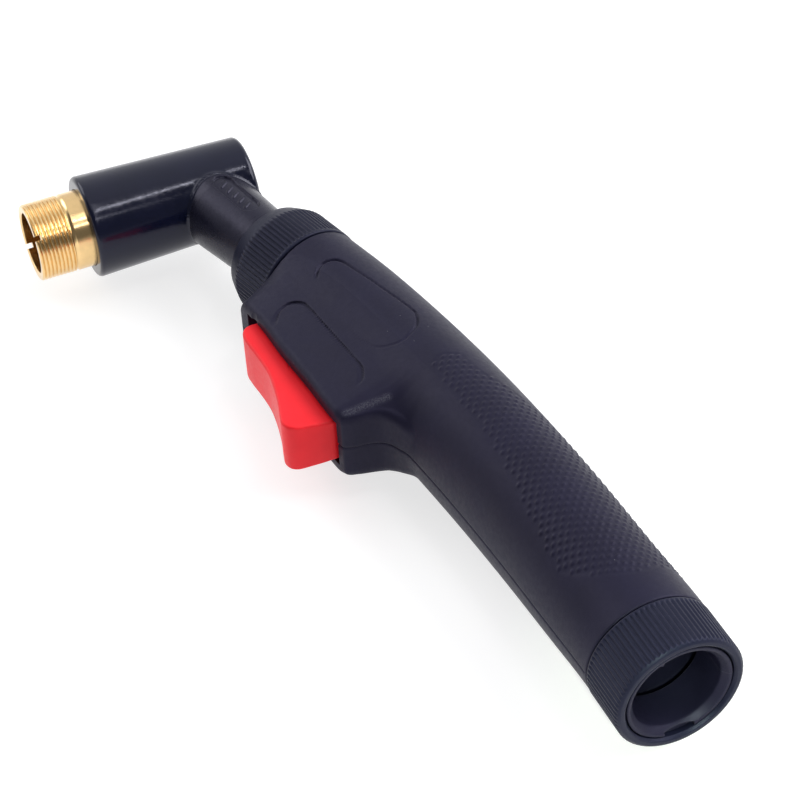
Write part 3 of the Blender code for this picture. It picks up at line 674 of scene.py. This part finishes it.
def texture(x, p):
    """Height of the grip texture at stations x and angles p from the belly."""
    w = p * R_TEX
    i = x * LATTICE[0, 0] + w * LATTICE[1, 0]
    j = x * LATTICE[0, 1] + w * LATTICE[1, 1]
    i0, j0 = np.round(i), np.round(j)
    basis = np.linalg.inv(LATTICE)
    xc = i0 * basis[0, 0] + j0 * basis[1, 0]
    wc = i0 * basis[0, 1] + j0 * basis[1, 1]
    pc = np.degrees(wc / R_TEX)
    # mirrored patch over the back
    pc = np.where(pc > 180, 360 - pc, pc)
    poly = PATCH.copy()
    d = polygon_distance(xc, pc * 0.279, poly * np.array((1.0, 0.279)))
    inside = d > 0
    f = np.cos(math.pi * (i - i0)) * np.cos(math.pi * (j - j0))
    bump = np.where(inside, f ** 3, 0.0)
    d_here = polygon_distance(x, np.degrees(p) * 0.279, poly * np.array((1.0, 0.279)))
    return 0.27 * bump - 0.11 * smooth((d_here + 0.6) / 1.2)


# outline grooves of the two moulded fields: frame x, v below the centre line,
# angle from the belly, depth
FIELD_LINES = [
    [(-145.3, 63.4, 0.0), (-146.6, 67.1, 0.42), (-147.3, 70.3, 0.5), (-148.3, 77.0, 0.5),
     (-148.3, 83.3, 0.5), (-147.4, 90.1, 0.5), (-145.9, 93.6, 0.45), (-144.1, 94.9, 0.38),
     (-140.8, 96.4, 0.32), (-136.1, 98.8, 0.32), (-131.3, 100.8, 0.32),
     (-126.6, 103.2, 0.34), (-121.9, 105.2, 0.40), (-119.6, 105.2, 0.45),
     (-117.7, 102.4, 0.45), (-115.6, 97.3, 0.38), (-114.1, 91.3, 0.25),
     (-112.4, 76.0, 0.12), (-113.5, 65.0, 0.10), (-116.1, 55.8, 0.10), (-121.0, 52.1, 0.06),
     (-128.0, 53.0, 0.0)],
    [(-140.9, 24.6, 0.0), (-142.6, 25.8, 0.40), (-144.0, 28.2, 0.5), (-144.6, 31.5, 0.5),
     (-144.4, 35.4, 0.5), (-143.1, 39.2, 0.48), (-141.4, 41.5, 0.42), (-139.6, 41.8, 0.36),
     (-135.0, 41.4, 0.32), (-128.5, 40.7, 0.32), (-122.1, 40.1, 0.32), (-116.7, 39.5, 0.34),
     (-114.1, 39.3, 0.40), (-112.4, 37.9, 0.45), (-111.3, 36.5, 0.42), (-110.0, 34.5, 0.30),
     (-109.2, 32.0, 0.0)],
]


def field_curves():
    """The groove lines as dense smooth curves: x, height around, depth."""
    out = []
    for line in FIELD_LINES:
        p = np.array(line, float)
        p[:, 1] *= math.pi / 180
        q = np.concatenate([[2 * p[0] - p[1]], p, [2 * p[-1] - p[-2]]])
        pts = []
        for i in range(1, len(q) - 2):
            for t in np.arange(0, 1, 1 / 8):
                pts.append(0.5 * (2 * q[i] + (q[i + 1] - q[i - 1]) * t
                                  + (2 * q[i - 1] - 5 * q[i] + 4 * q[i + 1] - q[i + 2]) * t ** 2
                                  + (3 * q[i] - 3 * q[i + 1] + q[i + 2] - q[i - 1]) * t ** 3))
        pts.append(p[-1])
        out.append(np.array(pts))
    return out


FIELD_CURVES = field_curves()


def field_grooves(x, p, r):
    """Depth of the grooves at station x for the angles p and radii r."""
    deep = np.zeros(len(p))
    if x > -105.0:
        return deep
    for c in FIELD_CURVES:
        near = np.abs(c[:, 0] - x) < 1.2
        for ax, ap, d in c[near]:
            dist = np.hypot(ax - x, (ap - p) * r)
            deep = np.maximum(deep, 1.3 * d * (1 - smooth((dist - 0.14) / 0.34)))
    return deep


def handle_outer():
    """Whole outer form of the closed handle."""
    x0 = X_FRONT + 0.3 * math.cos(TILT)
    xs = list(np.arange(x0, -106.0, 0.25)) + list(np.arange(-106.0, -98.0, 0.2)) \
        + list(np.arange(-98.0, X_REAR - 0.5, 0.29))
    xs = np.array(xs)
    rings = []
    n = N_PHI

    def circle(x, r, s):
        return frame_points(np.full(n, x), r * np.cos(PHI), r * np.sin(PHI), s)

    # front spigot (under the ring nut)
    rings.append(circle(X_FRONT, 11.7, 10.6))
    rings.append(circle(X_FRONT, 12.3, 9.8))
    rings.append(circle(X_FRONT, 12.3, -0.3))
    rings.append(circle(X_FRONT, 13.4, -0.3))
    sym = np.where(PHI > math.pi, TAU - PHI, PHI)
    edge = 0.45
    for x in xs:
        _, _, a, b = grip_at(x)
        r = ellipse_radius(float(a), float(b))
        if x < -86.0:
            r = smax(r, housing_radius(x) - 4.5 * float(smooth((x + 97.0) / 10.5)), 2.2)
        r = r - field_grooves(x, sym, r)
        r = r + texture(np.full(n, x), sym) * 0.9
        # parting line of the two halves: a fine V groove on belly and back
        arc = np.minimum(sym, math.pi - sym) * r
        seam = 0.26 * np.clip(1 - arc / 0.34, 0, 1)
        r = r - seam
        # rounded front edge
        t = x - x0
        if t < edge:
            r = r - (edge - math.sqrt(max(0.0, edge ** 2 - (edge - t) ** 2)))
        rings.append(frame_points(np.full(n, x), r * np.cos(PHI), r * np.sin(PHI)))
    _, _, a, b = grip_at(X_REAR)
    for dx, dr in ((-0.45, 0.0), (-0.25, 0.04), (-0.1, 0.16), (0.0, 0.42)):
        rings.append(circle(X_REAR + dx, float(a) - dr, 0.0))
    rings.append(circle(X_REAR, 12.5, 0.0))
    rings.append(circle(X_REAR, 12.5, X_REAR + 0.3))
    for k in range(1, 6):
        q = math.pi / 2 * k / 5
        rings.append(circle(X_REAR, 12.5 - 0.3 * (1 - math.cos(q)),
                            X_REAR + 0.3 - 0.3 * math.sin(q)))
    return skin("handle", rings)


def ell(x, a, b, s=0.0, n=96):
    t = np.arange(n) * TAU / n
    return frame_points(np.full(n, float(x)), a * np.cos(t), b * np.sin(t), s)


def handle_hollow():
    rf, rr = 9.6, 10.4
    rings = [ell(X_FRONT, rf, rf, 12.6), ell(X_FRONT, rf, rf, -12.6),
             ell(X_FRONT, 12.0, 12.0, -12.9)]
    for x in (-134.0, -126.0, -117.0, -108.0, -99.0, -90.0, -81.0, -72.0, -62.0, -52.0,
              -42.0, -32.0, -22.0):
        _, _, a, b = grip_at(x)
        rings.append(ell(x, float(a) - 2.3, float(b) - 2.3))
    rings += [ell(X_REAR, 12.2, 12.2, -3.2), ell(X_REAR, rr, rr, -2.6)]
    # bore of the rear spigot with a coned, rounded mouth
    for x, r in ((-1.9, 0.0), (-1.6, 0.04), (-1.4, 0.12), (-1.15, 0.32), (-0.35, 1.0),
                 (-0.15, 1.18), (0.0, 1.38), (0.4, 2.0)):
        rings.append(ell(X_REAR, rr + r, rr + r, X_REAR - x))
    return skin("tool", rings)


handle = handle_outer()
combine(handle, handle_hollow(), "DIFFERENCE")
combine(handle, rod(RING_C - FWD * 4.7, RING_C - FWD * 9.3, 11.7, 96), "DIFFERENCE")
combine(handle, block(-148.2, -102.4, -46.0, -24.0, -6.6, 6.6, 0.8), "DIFFERENCE")
combine(handle, rod((-144.4, -37.6, -12.0), (-144.4, -37.6, 12.0), 2.3, 64), "DIFFERENCE")
combine(handle, block(-142.5, -108.4, -25.0, -13.0, -6.6, 6.6), "DIFFERENCE")
combine(handle, rod(PIVOT + (0, 0, -9.4), PIVOT + (0, 0, 9.4), 1.75, 32), "DIFFERENCE")
# thread start of the rear spigot: a flat sector on its rim
combine(handle, block(-1.3, 1.0, -3.5, 3.7, -14.0, -10.95, 0.0), "DIFFERENCE")
# small moulding nub inside the rear mouth
combine(handle, rod((-1.3, -4.3, 10.7), (-1.3, -3.8, 9.4), 0.5, 20), "UNION")

SPLIT = 0.003
left = copy_of(handle, "handle_left")
combine(left, block(-260, 60, -120, 80, -60, SPLIT), "DIFFERENCE")
right = handle
right.name = right.data.name = "handle_right"
combine(right, block(-260, 60, -120, 80, -SPLIT, 60), "DIFFERENCE")
for x in SCREW_X:
    combine(right, rod((x, SCREW_Y, -3.5), (x, SCREW_Y, -12.3), 2.4, 32), "UNION")
    combine(right, rod((x, SCREW_Y, -3.0), (x, SCREW_Y, -9.2), 1.25, 24), "DIFFERENCE")
for o, n in ((left, "handle_shell_left"), (right, "handle_shell_right")):
    finish_shade(o, 42)
    dress(o, "handle", "torch_body", "handle_plastic", n)

# ------------------------------------------------------------------ ring nuts
def ribbed(name, outer, inner, s0, s1, r_rib, origin, direction, depth, ribs):
    """Ring nut: the outer path runs from one end to the other, with grooves
    that start round at s0 and run out through the shoulder past s1, and the
    inner path runs back."""
    prof = np.concatenate([dense(outer, 0.3), dense(inner, 1.2)])
    n = ribs * 8
    pitch = TAU * r_rib / ribs
    hw = 0.30

    def radial(i, th, r, z):
        if r < r_rib - 1.0 or z < s0 - 0.2 or z > s1 + 1.6:
            return np.full(n, r)
        t = (th * ribs / TAU) % 1.0
        da = np.abs(t - 0.5) * pitch
        ds = max(0.0, s0 + hw - z)
        cut = depth * (1 - smooth((np.hypot(da, ds) - hw + 0.16) / 0.30))
        return np.minimum(r, r_rib - cut)

    return revolve(name, prof, origin, direction, n, closed=True, radial=radial, sharp=60)


front_outer = fillet([(12.6, 0.0, 0), (14.84, 0.0, 0.45), (14.84, 11.0, 1.2),
                      (13.75, 14.0, 6.0), (12.75, 16.4, 0.75), (10.2, 16.4, 0.35),
                      (10.2, 14.2, 0.0)], False, 6)
front_inner = np.array([(10.2, 14.2), (12.6, 11.4), (12.6, 0.0)])[0:2]
nut = ribbed("ring_nut_front", front_outer, front_inner, 0.95, 10.9, 14.84, RING_C, FWD,
             0.42, 77)
dress(nut, "nut", "front_nut", "nut_plastic", "front_ring_nut")

rear_outer = fillet([(12.8, -13.1, 0), (15.2, -13.1, 0.5), (15.2, -0.2, 1.0),
                     (14.35, 0.5, 0.6), (13.3, 0.5, 0.4), (12.8, -0.2, 0.3),
                     (12.8, -1.6, 0.0)], False, 7)
nut = ribbed("ring_nut_rear", rear_outer, np.array([(12.8, -1.6), (12.8, -13.0)]),
             -12.35, -1.0, 15.2, (0, 0, 0), (1, 0, 0), 0.36, 78)
dress(nut, "nut", "rear_nut", "nut_plastic", "rear_ring_nut")

# ------------------------------------------------------------- neck and head
def head_point(u):
    return HEAD_F + HEAD_DIR * u


def stadium(a, b, half_len, r):
    """Signed distance to a stadium, positive inside."""
    return r - np.hypot(np.maximum(np.abs(a) - (half_len - r), 0), b)


def neck_mesh():
    """Neck along FWD from inside the handle into the head, flared where it
    meets the head, with a sunk field on the upper side."""
    s_main = np.concatenate([np.arange(-13.4, 16.0, 1.2), np.arange(16.0, 47.0, 0.16)])
    n = 420
    th = np.arange(n) * TAU / n
    ax = axes_of(FWD)
    rings = []
    prof = [(8.0, -14.0), (8.6, -14.0), (9.0, -13.8)]
    for r, s in prof:
        loc = np.stack([r * np.cos(th), r * np.sin(th), np.full(n, s)], -1)
        rings.append(place(loc, RING_C, FWD))
    fil = 0.5
    for s in s_main:
        r = np.interp(s, (-13.4, 16.4, 24.0, 38.0, 50.0), (9.2, 9.2, 9.45, 10.1, 10.1))
        rr = np.full(n, float(r))
        loc = np.stack([rr * np.cos(th), rr * np.sin(th), np.full(n, s)], -1)
        p = place(loc, RING_C, FWD)
        # fillet against the head: grows as the surface nears it
        q = p - HEAD_F
        u = q @ HEAD_DIR
        dist = np.linalg.norm(q - u[:, None] * HEAD_DIR, axis=1) - np.interp(
            -u, (0, HEAD_LEN), (HEAD_RF, HEAD_RB))
        t = np.clip(dist, 0, fil)
        rr = rr + fil - np.sqrt(np.maximum(0.0, fil ** 2 - (fil - t) ** 2))
        # sunk field: local x points up (+Z), local y to the side
        arc = (((th + math.pi) % TAU) - math.pi) * r
        off = arc - 0.9 * SIDE
        d = stadium(s - 31.8, off, 8.3, 2.85)
        rr = rr - 0.58 * smooth((d + 0.05) / 0.24)
        # plain raised bars in the field
        bars = np.zeros(n)
        for k in range(5):
            c = 31.8 + (k - 2) * 2.55
            lean = off * 0.45
            bd = 0.50 - np.hypot(s - c - lean, np.maximum(np.abs(off) - 1.15, 0) * 1.0)
            bars = np.maximum(bars, smooth((bd + 0.05) / 0.25))
        rr = rr + 0.28 * bars * (d > 0.3)
        loc = np.stack([rr * np.cos(th), rr * np.sin(th), np.full(n, s)], -1)
        rings.append(place(loc, RING_C, FWD))
    return skin("neck", rings, sharp=60)


# +1 if the neck's local Y axis points to +Y of the layout
SIDE = 1.0 if axes_of(FWD)[1, 1] > 0 else -1.0

head_path = fillet([(0, -HEAD_LEN, 0), (HEAD_RB, -HEAD_LEN, 1.5), (HEAD_RF, 0.0, 1.1),
                    (0, 0.0, 0)], False, 8)
head_path = np.concatenate([[head_path[0]], dense(head_path[1:-1], 1.5), [head_path[-1]]])
head = revolve("head", head_path, HEAD_F, HEAD_DIR, 180)
neck = neck_mesh()
head.data.materials.append(M["head"])
neck.data.materials.append(M["neck"])
combine(head, neck, "UNION")
combine(head, rod(RING_C - FWD * 5.0, RING_C - FWD * 9.0, 11.4, 96), "UNION")
combine(head, rod(head_point(2.0), head_point(-1.7), 10.18, 128), "DIFFERENCE")
combine(head, rod(head_point(1.0), head_point(-18.6), 8.8, 96), "DIFFERENCE")
combine(head, rod(head_point(-10.0), head_point(-37.0), 5.6, 48), "DIFFERENCE")
combine(head, rod(RING_C - FWD * 20.0, RING_C + FWD * 48.6, 3.3, 48), "DIFFERENCE")
combine(head, rod(RING_C - FWD * 20.0 + (0, 0, 6.1), RING_C - FWD * 9.5 + (0, 0, 6.1),
                  1.6, 32), "DIFFERENCE")
finish_shade(head, 42)
# the neck keeps its satin finish, the head its gloss
me = head.data
co = np.zeros(len(me.polygons) * 3)
me.polygons.foreach_get("center", co)
co = co.reshape(-1, 3) * 1000 - SHIFT
q = co - HEAD_F
u = q @ HEAD_DIR
dist = np.linalg.norm(q - u[:, None] * HEAD_DIR, axis=1) - np.interp(
    -u, (0, HEAD_LEN), (HEAD_RF, HEAD_RB))
me.materials.clear()
me.materials.append(M["head"])
me.materials.append(M["neck"])
me.polygons.foreach_set("material_index", (dist > 0.35).astype(np.int32))
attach(head, "torch_body")
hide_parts("head_body")
head.name = "head_and_neck"

# -------------------------------------------------------------- brass front
PITCH = 1.0
brass_outer = fillet([(7.85, 14.4, 0.25), (9.62, 14.4, 0.1), (10.0, 14.0, 0.1),
                      (10.0, 5.3, 0.05), (9.62, 5.1, 0.05), (9.62, 4.65, 0.05),
                      (10.0, 4.4, 0.08), (10.0, -1.4, 0.0), (8.5, -1.4, 0.0),
                      (8.5, -18.0, 0.0), (6.0, -18.0, 0.0), (6.0, -3.0, 0.0),
                      (7.85, -1.6, 0.0)], True, 4)
brass_path = dense(brass_outer, 0.075 * 1.0, True)
keep = []
last = None
for p in brass_path:
    # fine steps only where the thread runs
    step = 0.07 if (p[0] > 9.4 and p[1] > 4.9) else 0.45
    if last is None or np.linalg.norm(p - last) >= step * 0.95:
        keep.append(p)
        last = p
brass_path = np.array(keep)


def thread(i, th, r, z):
    if r < 9.5 or z < 5.0:
        return np.full(len(th), r)
    t = (z / PITCH - th / TAU) % 1.0
    tri = np.abs(2 * t - 1)
    cut = np.clip((tri - 0.50) / 0.50, 0, 1)
    deep = 0.40 * smooth((z - 5.15) / 0.5)
    return np.minimum(r, 10.0 - deep * cut)


brass = revolve("brass_front", brass_path, HEAD_F, HEAD_DIR, 300, closed=True,
                radial=thread, sharp=50)
slot_dir = np.array([0.743, -0.022, 0.669])
slot_dir /= np.linalg.norm(slot_dir)
side = np.cross(HEAD_DIR, slot_dir)
side /= np.linalg.norm(side)
sq = np.array([(-13, -0.65), (13, -0.65), (13, 0.65), (-13, 0.65)])
rings = []
for h in (-1.6, 1.6):
    rings.append([head_point(14.4) + slot_dir * a + side * b + HEAD_DIR * h for a, b in sq])
combine(brass, skin("tool", np.array(rings)), "DIFFERENCE")
finish_shade(brass, 35)
dress(brass, "brass", "torch_body", "brass", "front_body")

# -------------------------------------------------------------------- trigger
FINGER = np.array([
    (-144.5, -33.0), (-144.5, -36.8), (-144.1, -38.3), (-143.0, -39.5), (-141.2, -40.2),
    (-137.5, -40.35), (-134.0, -40.12), (-130.0, -39.95), (-126.5, -40.0),
    (-123.0, -40.45), (-118.5, -41.3), (-114.3, -42.35), (-110.6, -43.5),
    (-108.2, -44.05), (-106.2, -43.4), (-105.1, -42.0), (-104.7, -40.5), (-104.0, -36.0)])


def finger_curve():
    """Smooth curve through the finger side and both ends of the trigger."""
    p = FINGER
    d = np.concatenate([[0], np.cumsum(np.linalg.norm(np.diff(p, axis=0), axis=1))])
    m = np.gradient(p, d, axis=0)
    out = []
    for i in range(1, len(p) - 2):
        h = d[i + 1] - d[i]
        for t in np.linspace(0, 1, max(2, int(h / 0.35)), endpoint=False):
            out.append((2 * t ** 3 - 3 * t ** 2 + 1) * p[i]
                       + (t ** 3 - 2 * t ** 2 + t) * h * m[i]
                       + (-2 * t ** 3 + 3 * t ** 2) * p[i + 1] + (t ** 3 - t ** 2) * h * m[i + 1])
    out.append(p[-2])
    return [(x, y, 0.0) for x, y in out]


outline = fillet(finger_curve()
                 + [(-104.0, -36.0, 0.4), (-103.7, -33.0, 0.4), (-103.7, -30.5, 0.6),
                    (-134.0, -30.5, 0.5), (-135.6, -28.6, 0.6), (-137.4, -27.9, 0.6),
                    (-139.6, -27.9, 0.6), (-142.6, -28.8, 1.4), (-144.2, -30.6, 0.8),
                    (-144.5, -33.0, 0.5)],
                 True, 6)


def inset(path, d):
    """Closed outline moved inwards by d."""
    nxt, prv = np.roll(path, -1, 0), np.roll(path, 1, 0)
    t = nxt - prv
    t /= np.linalg.norm(t, axis=1)[:, None]
    area = 0.5 * np.sum(path[:, 0] * nxt[:, 1] - nxt[:, 0] * path[:, 1])
    nrm = np.stack([-t[:, 1], t[:, 0]], -1) * (1 if area > 0 else -1)
    return path + nrm * d


def trigger_mesh():
    base = dense(outline, 0.6, True)
    R = 0.7
    levels = []
    for k in range(8):
        q = math.pi / 2 * k / 7
        levels.append((-1 + 0.0, R * (1 - math.sin(q)), R * (1 - math.cos(q))))
    rings = []
    for sgn in (-1, 1):
        seq = levels if sgn < 0 else levels[::-1]
        for _, d, dz in seq:
            o = inset(base, d)
            half = 6.0 + 0.08 * (-33.0 - base[:, 1])
            z = sgn * (half - dz)
            rings.append(np.concatenate([o, z[:, None]], 1))
    return skin("trigger", rings, sharp=50)


# the levels above run from the outer side face to the full outline
trig = trigger_mesh()
combine(trig, prism("tool", [(-112.4, -31.5), (-109.2, -31.5), (-109.2, -29.9),
                             (-109.8, -29.35), (-111.8, -29.35), (-112.4, -29.9)],
                    -2.4, 2.4), "UNION")
combine(trig, rod(PIVOT + (0, 0, -12), PIVOT + (0, 0, 12), 1.75, 40), "DIFFERENCE")
finish_shade(trig, 40)
trig.name = "trigger_cap"
dress(trig, "trigger", "trigger", "trigger_plastic", "trigger")


# ------------------------------------------------------------- trigger spring
def coil_spring(x, y0, y1, radius, wire, turns):
    """Coil spring along Y, closed wire tube with flat ends."""
    n, m = int(turns * 40) + 1, 14
    t = np.arange(m) * TAU / m
    rings = []
    for k in range(n):
        h = k / (n - 1)
        a = TAU * turns * h
        c = np.array((x + radius * math.cos(a), y0 + (y1 - y0) * h, radius * math.sin(a)))
        out = np.array((math.cos(a), 0.0, math.sin(a)))
        tan = np.array((-math.sin(a) * radius * TAU * turns, y1 - y0,
                        math.cos(a) * radius * TAU * turns))
        tan /= np.linalg.norm(tan)
        up = np.cross(tan, out)
        rings.append(c + wire * (np.cos(t)[:, None] * out + np.sin(t)[:, None] * up))
    return skin("return_spring", rings, sharp=60)


spring = coil_spring(-106.0, -29.85, -24.65, 1.9, 0.28, 4.0)
dress(spring, "steel", "torch_body", "steel", "trigger_spring")
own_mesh(spring)

# ------------------------------------------------------------- floor and light
def floor():
    me = bpy.data.meshes.new("floor")
    z, h = -0.00022, 3.0
    me.from_pydata([(-h, -h, z), (h, -h, z), (h, h, z), (-h, h, z)], [], [(0, 1, 2, 3)])
    obj = bpy.data.objects.new("floor", me)
    bpy.context.scene.collection.objects.link(obj)
    mat, nt, bsdf = nodes_of("floor_pale")
    vec = coords(nt, 1.0)
    tone = noise(nt, vec, 3.0, 2.0)
    nt.links.new(mix_colour(nt, remap(nt, tone, 0.4, 0.6, 0, 1), (0.42, 0.42, 0.422),
                            (0.44, 0.44, 0.442)), bsdf.inputs["Base Color"])
    bsdf.inputs["Roughness"].default_value = 0.7
    bsdf.inputs["Specular IOR Level"].default_value = 0.2
    bsdf.inputs["Emission Color"].default_value = (1, 1, 1, 1)
    bsdf.inputs["Emission Strength"].default_value = 0.72
    me.materials.append(mat)


floor()


def area(name, location, target, size, size_y, power, colour=(1, 1, 1)):
    data = bpy.data.lights.new(name, "AREA")
    data.shape = "RECTANGLE"
    data.size, data.size_y = size, size_y
    data.energy = power
    data.color = colour
    obj = bpy.data.objects.new(name, data)
    bpy.context.scene.collection.objects.link(obj)
    obj.location = location
    d = Vector(target) - Vector(location)
    obj.rotation_euler = d.to_track_quat("-Z", "Y").to_euler()
    return obj


# soft key from behind, weak fill from the front left
area("key_back", (0.25, 0.95, 0.80), (0, 0, 0.0), 1.1, 0.8, 14.0)
area("fill_left", (-0.9, -0.5, 0.7), (-0.02, 0, 0.0), 0.7, 0.7, 3.5)


def panel(name, location, rotation, size, size_y, power):
    """Lamp panel facing down, turned about the vertical."""
    data = bpy.data.lights.new(name, "AREA")
    data.shape = "RECTANGLE"
    data.size, data.size_y = size, size_y
    data.energy = power
    obj = bpy.data.objects.new(name, data)
    bpy.context.scene.collection.objects.link(obj)
    obj.location = location
    obj.rotation_euler = (0.0, 0.0, math.radians(rotation))


# strip along the head, small lamp and soft card for the brass
panel("strip", (0.21, 0.18, 0.767), 45.0, 0.028, 0.24, 0.5)
area("brass_lamp", (0.585, 0.104, 0.767), (-0.09, -0.035, 0.02), 0.18, 0.06, 0.27)
panel("brass_card", (0.295, 0.106, 0.767), 0.0, 0.57, 0.055, 0.18)

# narrow cool beam into the rear opening
beam = bpy.data.lights.new("bore_beam", "SPOT")
beam.energy = 34.0
beam.color = (0.82, 1.0, 0.74)
beam.shadow_soft_size = 0.02
beam.spot_size = math.radians(3.2)
beam.spot_blend = 0.5
bo = bpy.data.objects.new("bore_beam", beam)
bpy.context.scene.collection.objects.link(bo)
bo.location = (0.56, -0.12, 0.40)
aim = Vector((float(SHIFT[0]), float(SHIFT[1]), float(SHIFT[2]))) * 0.001 - bo.location
bo.rotation_euler = aim.to_track_quat("-Z", "Y").to_euler()

world = bpy.data.worlds.new("studio")
bpy.context.scene.world = world
world.use_nodes = True
wt = world.node_tree
bg = wt.nodes["Background"]
tc = node(wt, "ShaderNodeTexCoord")
sep = node(wt, "ShaderNodeSeparateXYZ")
wt.links.new(tc.outputs["Generated"], sep.inputs[0])
sidev = node(wt, "ShaderNodeVectorMath", operation="DOT_PRODUCT")
wt.links.new(tc.outputs["Generated"], sidev.inputs[0])
sidev.inputs[1].default_value = (-0.93, 0.36, 0.0)
left_side = remap(wt, sidev.outputs["Value"], -0.12, 0.22, 0.0, 1.0, "SMOOTHSTEP")
# right side of the studio: mid grey low down, dark band, bright overhead
low = remap(wt, sep.outputs["Z"], 0.06, 0.20, 0.45, 0.16, "SMOOTHSTEP")
top = remap(wt, sep.outputs["Z"], 0.89, 0.94, 0.0, 0.65, "SMOOTHSTEP")
right_level = math_node(wt, "ADD", low, top)
level = node(wt, "ShaderNodeMix", data_type="FLOAT")
wt.links.new(left_side, level.inputs[0])
wt.links.new(right_level, level.inputs[2])
level.inputs[3].default_value = 0.92
wt.links.new(level.outputs[0], bg.inputs["Strength"])
bg.inputs["Color"].default_value = (0.97, 0.98, 1.0, 1.0)

# --------------------------------------------------------------------- camera
AZ, EL, ROLL = (math.radians(v) for v in (67.94, 42.05, -3.83))
C = Vector((math.sin(AZ) * math.cos(EL), -math.cos(AZ) * math.cos(EL), math.sin(EL)))
r0 = Vector((math.cos(AZ), math.sin(AZ), 0.0))
u0 = C.cross(r0)
R = r0 * math.cos(ROLL) + u0 * math.sin(ROLL)
U = -r0 * math.sin(ROLL) + u0 * math.cos(ROLL)
target = Vector((-86.23, -19.73, 16.24)) * 1.064 + Vector(SHIFT)
cam_data = bpy.data.cameras.new("camera")
cam = bpy.data.objects.new("camera", cam_data)
bpy.context.scene.collection.objects.link(cam)
mat = Matrix((R, U, C)).transposed().to_4x4()
mat.translation = (target + C * 549.35 * 1.064) * 0.001
cam.matrix_world = mat
cam_data.sensor_width = 36.0
cam_data.lens = 36.0 * 2600.65 / 800.0
cam_data.clip_start = 0.01
cam_data.clip_end = 50.0
bpy.context.scene.camera = cam
bpy.context.scene.view_settings.view_transform = "Standard"
